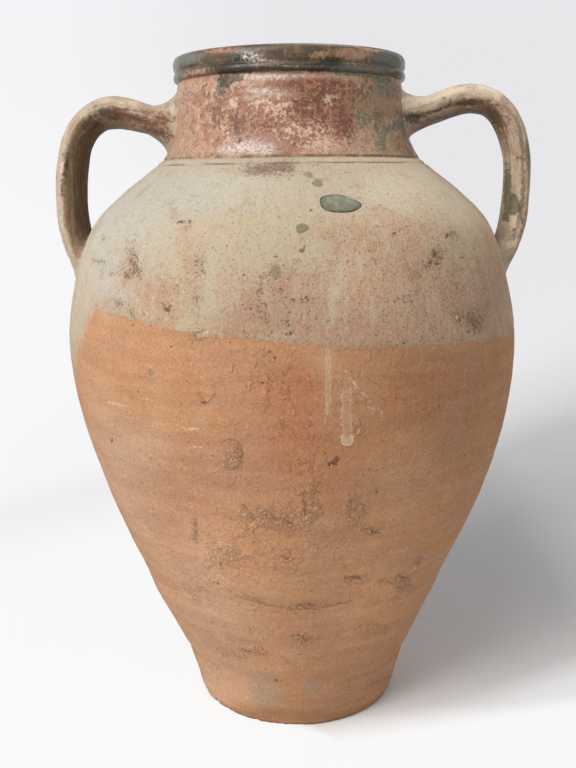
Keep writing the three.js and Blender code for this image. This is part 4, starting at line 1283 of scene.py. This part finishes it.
def clay_coat(p, warm, rough, smudge_and_shade):
    """Bare fired clay: mottled and gritty, with pits, pale dust, and winding creases where it is rough."""
    big, mid, small = p.noise(64, 3), p.noise(18, 4), p.noise(5, 5, 0.62)
    grit, dust, lumps = p.noise(1.5, 2, 0.7), p.noise(2.6, 4, 0.7), p.noise(2.6, 3, 0.7)
    p.veil(CLAY_LIGHT, mid, 0.42, 0.7, 0.4)
    p.veil(CLAY_LIGHT, warm, -0.05, -1.0, 0.9)
    p.veil(CLAY_PINK, big, 0.4, 0.64, 0.4)
    p.veil(CLAY_RED, warm, 0.1, 1.0, 0.7)
    p.veil(CLAY_BROWN, small, 0.54, 0.74, 0.3)
    p.veil(CLAY_DUST, dust, 0.54, 0.7, 0.38)
    p.veil(CLAY_BROWN, dust, 0.44, 0.3, 0.3)
    wheel = p.ramp(p.noise(8, 3, 0.55, ROUND), 0.36, 0.64, 0.05, -0.06)
    p.shade(p.add(p.ramp(grit, 0.3, 0.7, 0.87, 1.11), wheel))
    pits = p.times(p.ramp(p.cells(6.5), 0.06, 0.13, 1.0, 0.0), p.ramp(small, 0.48, 0.58))
    p.coat(CLAY_DARK, pits, 0.75)
    coarse = p.ramp(p.add(rough, p.sway(p.noise(9, 4, 0.65), 0.35)), 0.12, 0.85)
    winding = p.times(p.creases(5.0, 0.08), p.ramp(lumps, 0.4, 0.52), coarse)
    p.coat(CLAY_RUSSET, coarse, 0.06)
    p.coat(CLAY_CREASE, winding, 0.7)
    p.coat(CLAY_BROWN, coarse, p.ramp(lumps, 0.44, 0.37, 0.0, 0.3))
    p.coat(CLAY_DUST, coarse, p.ramp(lumps, 0.5, 0.6, 0.0, 0.6))
    # Rough patches lighter: paler scraped clay, and painted light against the shade of their own relief
    p.shade(p.ramp(coarse, 0.0, 1.0, 1.0, 1.17))
    specks = p.ramp(p.add(p.noise(1.9, 4, 0.7), p.times(smudge_and_shade, 0.085)), 0.62, 0.7)
    p.coat(CLAY_CREASE, specks, 0.48)
    # Brown smudges; along the low seam and the foot's bottom edge this is painted shade
    p.coat(CLAY_BROWN, smudge_and_shade, p.ramp(p.noise(5, 4, 0.65), 0.35, 0.65, 0.0, 0.1))
    height = p.weigh((mid, 0.6), (small, 0.7), (grit, 0.35), (dust, 0.45), (p.times(coarse, lumps), 3.2))
    return p.less(height, p.times(pits, 0.5), p.times(winding, 0.6))


def slip_coat(p, warm, pink, streak, smudge_and_shade, edge):
    """Pale slip over the clay: thin and pinkish low down, streaked downwards, worn in fine specks."""
    mid, small = p.noise(17, 4, 0.6), p.noise(5, 5, 0.62)
    grit, dust = p.noise(1.4, 2, 0.7), p.noise(2.3, 4, 0.7)
    runs = p.noise(6, 4, 0.6, DOWNWARDS)
    p.coat(SLIP_GREY, p.ramp(warm, 0.1, -0.8))
    worn = p.ramp(p.add(pink, p.sway(mid, 0.26), p.sway(dust, 0.14)), -0.05, 1.1)
    streaked = p.add(p.times(streak, 0.8), p.ramp(runs, 0.35, 0.65, -0.3, 0.3))
    worn = p.times(worn, p.ramp(streaked, 0.0, 0.9, 1.0, 0.2))
    p.coat(SLIP_PINK, worn, 0.95)
    p.coat(SLIP_THIN, p.ramp(edge, 24.0, 1.0), p.ramp(mid, 0.34, 0.66, 0.08, 0.4))
    p.veil(SLIP_PINK, small, 0.5, 0.72, 0.25)
    p.coat(SLIP_CREAM, p.ramp(runs, 0.5, 0.62), p.ramp(streak, 0.0, 1.0, 0.35, 0.8))
    p.veil(SLIP_PINK, runs, 0.5, 0.36, 0.2)
    p.veil(SLIP_BROWN, mid, 0.56, 0.74, 0.25)
    p.coat(SLIP_DIRT, p.ramp(dust, 0.55, 0.72, 0.0, 0.5), p.ramp(worn, 0.0, 0.6, 0.4, 1.0))
    p.veil(WHITE_WASH, dust, 0.44, 0.3, 0.3)
    p.shade(p.add(1.0, p.times(p.ramp(grit, 0.3, 0.7, -0.12, 0.1), p.ramp(worn, 0.0, 0.6, 0.45, 1.0))))
    pits = p.times(p.ramp(p.cells(5.5), 0.05, 0.12, 1.0, 0.0), p.ramp(small, 0.46, 0.56))
    p.coat(SLIP_SPECK, pits, 0.65)
    specks = p.ramp(p.add(p.noise(1.9, 4, 0.7), p.times(smudge_and_shade, 0.17), p.times(worn, 0.02)), 0.62, 0.7)
    p.coat(SLIP_SPECK, specks, 0.65)
    p.coat(SLIP_BROWN, smudge_and_shade, p.ramp(p.noise(5, 4, 0.65), 0.35, 0.65, 0.0, 0.5))
    height = p.weigh((mid, 0.5), (small, 0.6), (grit, 0.5), (dust, 0.4), (runs, 0.3))
    return p.less(height, p.times(p.most(specks, pits), 0.4))


def wall_material(name):
    """Bare clay below the slip's edge and slip above it, with all the marks on both."""
    p = Paint(name, CLAY)
    slip, dark, pale = p.marks("marks_a")
    rough, warm, smudge_and_shade = p.marks("marks_b")
    drip, drip_strength, grey = p.marks("marks_c")
    pink, streak, drop = p.marks("marks_d")
    painted_light, mauve, above = p.marks("marks_e")
    scratch, scratch_strength, crack_and_shadow_line = p.marks("lines_a")
    crack_and_shadow_strength, level, _ = p.marks("lines_b")
    height = clay_coat(p, warm, rough, smudge_and_shade)
    clay, p.base = p.base, SLIP_CREAM
    ripple = slip_coat(p, warm, pink, streak, smudge_and_shade, above)
    cover = p.ramp(p.add(slip, p.sway(p.noise(5, 4, 0.65), 0.8)), -1.2, 1.2)
    rubbed = p.times(p.ramp(slip, 9.0, 0.0), p.ramp(p.noise(2.0, 4, 0.7), 0.56, 0.68, 0.0, 0.5))
    cover = p.times(cover, p.less(1.0, rubbed))
    p.base = p.mix(clay, p.base, cover)
    height = p.add(p.times(height, p.ramp(cover, 0.0, 1.0, 1.0, 0.25)), p.times(ripple, cover))
    p.coat(DROP_THIN, p.patch(drop, 4, 1.0, 1.0), 0.78)
    p.coat(SLIP_MAUVE, p.field(mauve, 3, 0.45, 0.25, 0.85), 0.75)
    p.coat(SLIP_DIRT, p.ring(level, SCORED_LEVEL, 0.35, 0.9), p.ramp(p.noise(30, 2), 0.4, 0.6, 0.1, 0.8))
    dots = p.patch(dark, 2.0, 0.7, 0.45)
    p.coat(CLAY_DARK, dots, 0.7)
    p.coat(WHITE_WASH, p.patch(pale, 2.0, 1.0, 0.6), 0.8)
    p.coat(ASH_GREY, p.patch(grey, 7, 3.4, 2.4), p.ramp(p.noise(2.5, 4), 0.35, 0.65, 0.2, 0.75))
    wash = p.times(p.patch(drip, 2.4, 0.3, 0.5), drip_strength)
    lined = p.times(p.ramp(drip, 1.8, 0.6), wash)
    p.coat(WHITE_WASH, p.weigh((wash, 0.45), (lined, 0.45)))
    p.coat(WHITE_WASH, p.line(scratch, scratch_strength, 1.4, 0.44), 0.75)
    # Dark cracks, and painted shadow lines along the low seam
    cut_and_shadow_line = p.line(crack_and_shadow_line, crack_and_shadow_strength, 1.3, 0.38)
    p.coat(CLAY_CREASE, cut_and_shadow_line, 0.65)
    # Painted contact shade: the lowest few mm of the foot darken towards the floor
    p.coat(CLAY_DARK, p.ramp(level, 4.6, 0.4), p.ramp(level, 0.05, 0.2), 0.7)
    # Painted light and shade from the light fields
    p.shade(p.add(painted_light, 1.0))
    height = p.less(height, p.times(p.add(cut_and_shadow_line, dots), 0.5))
    return p.finish(p.ramp(p.noise(9, 3), 0.3, 0.7, 0.78, 0.95), height, 0.001, 0.25)


def neck_material(name):
    """Worn reddish glaze, mottled pink and brown, with green and olive runs from the rim, and painted
    highlights.
    """
    p = Paint(name, NECK_TAN)
    olive, teal, _ = p.marks("glaze_a")
    pale, red, dark = p.marks("glaze_b")
    tan_and_highlight, painted_highlight, _ = p.marks("glaze_c")
    level = p.marks("glaze_d")[0]
    mid, small, fine = p.noise(10, 5, 0.6), p.noise(3.4, 5, 0.68), p.noise(1.4, 3, 0.7)
    p.veil(CLAY_DUST, p.noise(6, 4, 0.6, PARTLY_DOWN), 0.5, 0.72, 0.45)
    p.veil(SMOKE, p.noise(4.2, 4, 0.7, (1.0, 1.0, 0.25)), 0.52, 0.68, 0.5)
    p.veil(CLAY_RED, mid, 0.5, 0.7, 0.35)
    p.coat(NECK_REDDISH, p.field(red, 7, 0.4, 0.2, 0.7), 0.8)
    p.coat(OCHRE, p.field(tan_and_highlight, 12, 0.3, 0.15, 0.8), 0.85)
    p.coat(NECK_DEEP, p.field(dark, 3.0, 0.7, 0.35, 0.8), 0.75)
    spots = p.ramp(p.add(p.times(pale, 0.2), p.noise(3.1, 5, 0.72)), 0.565, 0.65)
    p.coat(NECK_PINK, spots, p.ramp(pale, 0.0, 0.7, 0.3, 0.9))
    p.coat(NECK_PINK, p.ramp(fine, 0.56, 0.66), p.ramp(pale, 0.0, 1.0, 0.2, 0.6))
    p.coat(NECK_DEEP, p.ramp(p.noise(2.2, 4, 0.7), 0.56, 0.62), p.ramp(red, 0.0, 0.9, 0.2, 0.6))
    p.veil(SMOKE, p.noise(2.3, 4, 0.7), 0.44, 0.32, 0.5)
    p.shade(p.ramp(fine, 0.32, 0.68, 0.8, 1.18))
    # Painted highlights where the glaze shines
    p.coat(PAINTED_HIGHLIGHT, painted_highlight, p.ramp(p.noise(2.2, 4, 0.7, (1.0, 1.0, 1.6)), 0.42, 0.6, 0.3, 1.1), 0.88)
    green = p.patch(teal, 3.2, 2.6, 1.0)
    p.coat(p.mix(TEAL, TEAL_PALE, p.ramp(p.noise(1.6, 4, 0.7), 0.48, 0.62)), green, 0.8)
    p.coat(OLIVE, p.patch(olive, 3.4, 2.2, 1.2), 0.75)
    p.coat(SMOKE, p.ring(level, COLLAR_LEVEL + 2, 0.4, 1.5), p.ramp(mid, 0.35, 0.6, 0.2, 0.85))
    ledge = p.ramp(p.add(level, p.sway(small, 0.5)), COLLAR_LEVEL + 1.4, COLLAR_LEVEL + 0.4)
    p.coat(SLIP_CREAM, ledge, 0.8)
    height = p.weigh((mid, 0.6), (small, 0.7), (fine, 0.4), (spots, 0.4), (green, 0.6))
    gloss = p.most(p.ramp(small, 0.35, 0.68, 0.26, 0.6), p.times(ledge, 0.85),
                   p.ramp(p.noise(13, 3), 0.44, 0.6, 0.0, 0.6))
    return p.finish(gloss, height, 0.0005, 0.4)


def rim_material(name):
    """Dark olive glaze wiped thin round the rim, bare tan patches, chips, blue-grey bloom and painted
    highlights.
    """
    p = Paint(name, OLIVE_BROWN)
    olive, teal, blue = p.marks("glaze_a")
    tan_and_highlight, painted_highlight, chip = p.marks("glaze_c")
    level = p.marks("glaze_d")[0]
    mid, small, fine = p.noise(10, 4, 0.6), p.noise(3.4, 5, 0.65), p.noise(1.3, 3, 0.7)
    runs = p.noise(2.6, 3, 0.6, PARTLY_DOWN)
    p.veil(RIM_BROWN, mid, 0.46, 0.66, 0.7)
    p.veil(OLIVE, p.noise(5, 3, 0.55, ROUND), 0.48, 0.64, 0.4)
    p.veil(RIM_BROWN, runs, 0.54, 0.7, 0.5)
    # Tan patches, and the painted highlight line along the rim's lower edge
    p.coat(TAN_PINK, p.field(tan_and_highlight, 4, 0.35, 0.3, 0.8), 0.85)
    p.veil(SMOKE, fine, 0.55, 0.72, 0.4)
    p.veil(TAN_PINK, small, 0.64, 0.76, 0.5)
    p.coat(p.mix(TEAL, BLUE_GREY, p.ramp(fine, 0.4, 0.6)), p.patch(teal, 3.2, 2.0, 1.0), 0.8)
    p.coat(BLUE_GREY, p.patch(blue, 4, 2.4, 1.6), 0.8)
    p.coat(OLIVE, p.patch(olive, 3.4, 2.0, 1.4), 0.9)
    p.coat(CHIP, p.patch(chip, 2.4, 1.6, 0.9), 0.6)
    p.shade(p.ramp(p.noise(2.0, 3, 0.65, (1.0, 1.0, 0.4)), 0.34, 0.66, 0.8, 1.2))
    p.coat(OLIVE, p.ring(level, GROOVE_LEVEL, 0.5, 1.8), 0.4)
    # Painted highlights where the rim's glaze shines
    p.coat(PAINTED_HIGHLIGHT, painted_highlight, p.ramp(p.noise(1.9, 4, 0.7), 0.42, 0.6, 0.1, 1.0), 0.95)
    height = p.weigh((mid, 0.5), (small, 0.5), (fine, 0.25), (runs, 0.2))
    gloss = p.most(p.ramp(small, 0.35, 0.7, 0.18, 0.45), p.times(p.patch(chip, 2.4, 1.4, 0.7), 0.7))
    return p.finish(gloss, height, 0.0003, 0.34)


def strap_material(name):
    """Slip drawn along the strap, patina and painted shade in its crook and creases, thin reddish and green
    glaze.
    """
    p = Paint(name, STRAP_CREAM)
    red, dark, teal = p.marks("strap_a")
    grey, pale, inner = p.marks("strap_b")
    line, line_strength, _ = p.marks("strap_c")
    mid, small = p.noise(13, 4, 0.6), p.noise(4.2, 5, 0.65)
    grit, dust = p.noise(1.4, 2, 0.7), p.noise(2.4, 4, 0.7)
    drawn = p.noise(1.6, 4, 0.6, (0.07, 1.0, 1.0), p.attribute("strap_way"))
    p.veil(STRAP_TAN, mid, 0.4, 0.66, 0.6)
    p.coat(STRAP_PALE_CLAY, p.field(pale, 8, 0.3, 0.1, 0.9), 0.9)
    p.veil(CLAY_LIGHT, small, 0.54, 0.72, 0.4)
    p.veil(STRAP_SHADE, drawn, 0.53, 0.7, 0.35)
    p.veil(STRAP_PALE_CLAY, drawn, 0.44, 0.3, 0.35)
    p.veil(STRAP_SHADE, dust, 0.55, 0.72, 0.32)
    # The side facing the jar darkens, partly as patina and partly as painted shade
    p.veil(STRAP_STAIN_AND_SHADE, p.add(inner, p.ramp(drawn, 0.35, 0.65, -0.12, 0.12)), 0.08, 0.45, 0.8)
    p.veil(STRAP_DEEP_STAIN_AND_SHADE, p.add(inner, p.ramp(drawn, 0.35, 0.65, -0.15, 0.15)), 0.45, 1.05, 0.85)
    p.coat(STRAP_RED_BROWN, p.field(red, 4, 0.45, 0.3, 0.85), 0.8)
    spots = p.ramp(p.add(p.times(red, 0.14), p.noise(3.4, 4, 0.7)), 0.62, 0.76)
    p.coat(NECK_PINK, spots, p.times(red, 0.6))
    # Dark marks, painted shade under the arches and in the crevice by the neck
    p.coat(STRAP_SHADE, p.field(dark, 3.4, 0.4, 0.3, 0.95), 0.85)
    green = p.patch(teal, 3.4, 1.2, 0.8)
    p.coat(p.mix(STRAP_GREEN, TEAL, p.ramp(small, 0.45, 0.6)), green, 0.8)
    p.coat(STRAP_SHADE, green, p.ramp(drawn, 0.5, 0.64, 0.0, 0.5))
    p.coat(BLUE_GREY, p.patch(grey, 3.4, 1.2, 1.2), 0.6)
    # Painted shade along the strap's creases
    p.coat(STRAP_SHADE, p.line(line, line_strength, 0.8, 0.25), 0.6)
    p.shade(p.ramp(grit, 0.3, 0.7, 0.88, 1.13))
    height = p.weigh((mid, 0.5), (small, 0.8), (dust, 0.5), (grit, 0.4), (drawn, 0.5))
    return p.finish(p.ramp(small, 0.35, 0.7, 0.42, 0.75), height, 0.001, 0.35)


def drop_material(name):
    """Pooled green glaze with a darker rim; thin drops let the slip through."""
    p = Paint(name, DROP_GREEN)
    reach, thin, _ = p.marks("drop")
    small, fine = p.noise(3, 4, 0.6), p.noise(1.0, 3, 0.7)
    p.veil(SMOKE, small, 0.5, 0.68, 0.5)
    p.veil(TEAL_PALE, p.noise(5, 3), 0.5, 0.62, 0.3)
    p.coat(DROP_THIN, thin, 0.8)
    p.coat(DROP_RIM, p.ramp(p.add(reach, p.sway(small, 0.06)), 0.8, 0.93), p.ramp(thin, 0.0, 1.0, 1.0, 0.35))
    return p.finish(p.ramp(small, 0.3, 0.7, 0.32, 0.52), p.add(small, fine), 0.00016, 0.32)


CLAY_SKIN = wall_material("clay_skin")
SLIP_SKIN = wall_material("slip_skin")
NECK_SKIN = neck_material("neck_skin")
RIM_SKIN = rim_material("rim_skin")
STRAP_SKIN = strap_material("strap_skin")
DROP_SKIN = drop_material("drop_skin")


def settle_piece(obj, material, slot, *nodes):
    obj.data.materials.append(material)
    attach(obj, "root")
    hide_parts(*nodes)


# The sections of the wall, from the ground up
settle_piece(base_disc("base_slab"), CLAY_SKIN, "bare_clay", "floor_disc")
for section, node, low, high, inner_spacing, spacing in (
    ("foot_section", "foot_wall", FLOOR_LEVEL, WAIST_LEVEL, 8, 1.2),
    ("lower_section", "lower_wall", WAIST_LEVEL, SEAM_LEVEL, 9, 1.35),
    ("belly_section", "belly_wall", SEAM_LEVEL, BELLY_LEVEL, 10, 1.5),
):
    wall = shell(section, length_at(low), length_at(high), inner_line(low, high, inner_spacing), spacing)
    settle_piece(wall, CLAY_SKIN, "bare_clay", node)

AT_COLLAR, AT_NECK = length_at(COLLAR_LEVEL), float(LINE_AT[nearest_row(RIM_RUN[0])])
shoulder_inner = np.vstack([[(96.6, 476.5), (97.6, 470), (103, 464.5)], inner_line(BELLY_LEVEL, 462.0, 8)])
shoulder = shell("shoulder_section", length_at(BELLY_LEVEL), AT_COLLAR, shoulder_inner, 1.5,
                 (AT_COLLAR - 9, AT_COLLAR))
settle_piece(shoulder, SLIP_SKIN, "slip_coat", "shoulder_wall")
neck_levels = np.linspace(NECK_LEVEL - 0.1, COLLAR_LEVEL + 0.4, 24)
neck_inner = np.stack([radius_at(neck_levels) - NECK_WALL, neck_levels], 1)
neck = shell("neck_section", AT_COLLAR, AT_NECK, neck_inner, 1.15, (AT_COLLAR, AT_COLLAR + 4),
             neck_marks, INNER_NECK)
settle_piece(neck, NECK_SKIN, "neck_glaze", "neck_collar")
rim_inner = [(84, NECK_LEVEL + 0.3), (88, NECK_LEVEL + 0.3)]
rim = shell("rim_section", AT_NECK, LINE_AT[-1] - 0.5, rim_inner, 0.62, (0, 0), neck_marks, INNER_NECK)
settle_piece(rim, RIM_SKIN, "rim_glaze", "rim_band")

# The handles and the clay pressed round their roots
for strap in (LEFT_HANDLE, RIGHT_HANDLE):
    side = strap["name"]
    settle_piece(strap_object(strap), STRAP_SKIN, "strap_slip", side + "_handle")
    settle_piece(upper_wad(strap), STRAP_SKIN, "strap_slip", side + "_upper_wad")
    settle_piece(lower_wad(strap), STRAP_SKIN, "slip_coat", side + "_lower_wad")

# The drops of glaze
for drop_name, drop in GLAZE_DROPS.items():
    settle_piece(drop_object(drop_name, drop), DROP_SKIN, "drop_glaze", drop_name)

# The floor sweeps up into the backdrop, in metres: how far it runs, and where and how tightly it turns up
FLOOR_FRONT = -2.5
FLOOR_SIDE = 4
BEND_START = 1.3
BEND_RADIUS = 0.9
BACKDROP_TOP = 3.2


def sweep():
    run = [(FLOOR_FRONT, 0.0), (BEND_START, 0.0)]
    run += [(BEND_START + BEND_RADIUS * math.sin(a), BEND_RADIUS - BEND_RADIUS * math.cos(a))
            for a in np.linspace(0.1, math.pi / 2, 14)]
    run += [(BEND_START + BEND_RADIUS, 1.5), (BEND_START + BEND_RADIUS, BACKDROP_TOP)]
    xs = np.linspace(-FLOOR_SIDE, FLOOR_SIDE, 9)
    columns = len(xs)
    corners = np.arange(len(run) * columns).reshape(len(run), columns)
    low, high = corners[:-1], corners[1:]
    faces = np.stack([low[:, :-1], low[:, 1:], high[:, 1:], high[:, :-1]], -1).reshape(-1, 4)
    return make_object("floor_sweep", np.array([(x, y, z) for y, z in run for x in xs]) / MM, [faces])


def rays_that_see(tree):
    """1 for camera, glossy and transmission rays, which see the pale room; 0 for the light on the object."""
    path = tree.nodes.new("ShaderNodeLightPath")
    seen = path.outputs["Is Camera Ray"]
    for kind in ("Is Glossy Ray", "Is Transmission Ray"):
        either = tree.nodes.new("ShaderNodeMath")
        either.operation = "MAXIMUM"
        tree.links.new(seen, either.inputs[0])
        tree.links.new(path.outputs[kind], either.inputs[1])
        seen = either.outputs[0]
    return seen


def mix_shaders(tree, share, plain, other, output):
    mix = tree.nodes.new("ShaderNodeMixShader")
    for socket, source in zip(mix.inputs, (share, plain, other)):
        tree.links.new(source, socket)
    tree.links.new(mix.outputs[0], output.inputs["Surface"])


# How strongly the sweep glows as seen: its far end fully, and the floor round the jar's shadow less so
BACKDROP_START = 0.25
BACKDROP_END = 1.05
FLOOR_GLOW = 0.07
NEAR_GLOW = 0.85
ASIDE_GLOW = 0.5
RIGHT_GLOW = 0.2


def glow_backdrop(p):
    """The sweep's far end shows as a pale backdrop, darker to the upper right; the floor keeps most of its
    shadow.
    """
    across, back, up = p.split(p.place)
    dim = p.add(p.ramp(across, -900.0, 500.0), p.times(p.ramp(up, 0.0, 900.0), 0.4))
    shade = p.mix(BACKDROP_PALE, BACKDROP_DIM, p.ramp(dim, 0.0, 1.3))
    far = p.ramp(p.less(back, p.times(across, 0.9)), BACKDROP_START / MM, BACKDROP_END / MM, FLOOR_GLOW, 1.0)
    # Painted light round the front and left of the foot, hiding the contact shade and the fill lamp's shadow
    front = p.ramp(p.less(back, p.times(across, 0.25)), -75.0, -130.0)
    left = p.ramp(p.add(across, p.times(back, 0.2)), -72.0, -96.0)
    between = p.ramp(p.add(back, p.times(across, 0.6)), -70.0, -95.0)
    near = p.times(p.most(front, left, between), NEAR_GLOW)
    aside = p.times(p.ramp(p.less(back, p.times(across, 0.6)), -110.0, -190.0), ASIDE_GLOW)
    # Painted light over the far right end of the jar's shadow
    right = p.times(p.ramp(across, 210.0, 420.0), RIGHT_GLOW)
    glow = p.node("Emission")
    p.put(glow.inputs["Color"], p.mix(WHITE, shade, p.ramp(far, 0.3, 0.9)))
    share = p.times(rays_that_see(p.tree), p.most(far, near, aside, right))
    mix_shaders(p.tree, share, p.surface.outputs["BSDF"], glow.outputs[0], p.output)


floor = sweep()
paper = Paint("paper", PAPER)
paper.coat(PAPER_GREY, paper.ramp(paper.noise(260, 3), 0.35, 0.65))
paper.finish(0.9, paper.noise(1.4, 2), 0.00004, 0.2)
glow_backdrop(paper)
floor.data.materials.append(paper.material)
floor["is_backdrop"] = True

# Soft studio light, aimed at the middle of the jar from a distance in metres
JAR_MIDDLE = Vector((0, 0, 0.25))
LAMP_DISTANCE = 2.2


def area(name, azimuth, elevation, size_x, size_y, power, tint):
    """A lamp seen from the middle of the jar at an azimuth and elevation in degrees."""
    a, e = math.radians(azimuth), math.radians(elevation)
    way = Vector((math.cos(e) * math.cos(a), math.cos(e) * math.sin(a), math.sin(e)))
    lamp = bpy.data.lights.new(name, "AREA")
    lamp.shape = "RECTANGLE"
    lamp.size, lamp.size_y = size_x, size_y
    lamp.energy = power
    lamp.color = tint
    obj = bpy.data.objects.new(name, lamp)
    obj.location = JAR_MIDDLE + LAMP_DISTANCE * way
    obj.rotation_euler = (-way).to_track_quat("-Z", "Y").to_euler()
    bpy.context.scene.collection.objects.link(obj)
    return obj


area("window", -135, 30, 1.0, 1.2, 30, (1.0, 0.99, 0.97))
area("high_window", -115, 50, 1.0, 1.2, 12, (1.0, 0.99, 0.97))
ceiling = area("ceiling", 35, 72, 1.4, 1.4, 19, (1.0, 0.99, 0.98))
edge = area("edge", 172, 16, 1.0, 1.4, 6, (0.98, 0.99, 1.0))
area("fill", -15, 12, 1.4, 1.2, 5.6, (1.0, 0.97, 0.94))

# The ceiling and edge lamps leave the floor to the windows, so that the jar's shadow stays as deep
unlit = bpy.data.collections.new("not_lit_from_above")
unlit.objects.link(floor)
unlit.collection_objects[0].light_linking.link_state = "EXCLUDE"
ceiling.light_linking.receiver_collection = unlit
edge.light_linking.receiver_collection = unlit

# The room lights the jar weakly, and is seen as pale walls
world = bpy.data.worlds.new("room")
world.use_nodes = True
room = world.node_tree.nodes["Background"]
room.inputs["Color"].default_value = (0.97, 0.98, 1.0, 1)
room.inputs["Strength"].default_value = 0.18
walls = world.node_tree.nodes.new("ShaderNodeBackground")
walls.inputs["Color"].default_value = ROOM_PALE
walls.inputs["Strength"].default_value = 1.0
mix_shaders(world.node_tree, rays_that_see(world.node_tree), room.outputs[0], walls.outputs[0],
            world.node_tree.nodes["World Output"])
bpy.context.scene.world = world
bpy.context.scene.view_settings.view_transform = "Standard"

# The camera
right = Vector((_cos_r, -_sin_r * _sin_p, -_sin_r * _cos_p))
upward = Vector((_sin_r, _cos_r * _sin_p, _cos_r * _cos_p))
ahead = Vector((0, _cos_p, -_sin_p))
camera_data = bpy.data.cameras.new("camera")
camera_data.sensor_width = SENSOR
camera_data.lens = SENSOR * FOCAL_PX / PHOTO_HEIGHT
camera = bpy.data.objects.new("camera", camera_data)
camera.matrix_world = Matrix((
    (right.x, upward.x, -ahead.x, EYE[0]),
    (right.y, upward.y, -ahead.y, EYE[1]),
    (right.z, upward.z, -ahead.z, EYE[2]),
    (0, 0, 0, 1),
))
bpy.context.scene.collection.objects.link(camera)
bpy.context.scene.camera = camera

low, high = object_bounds()
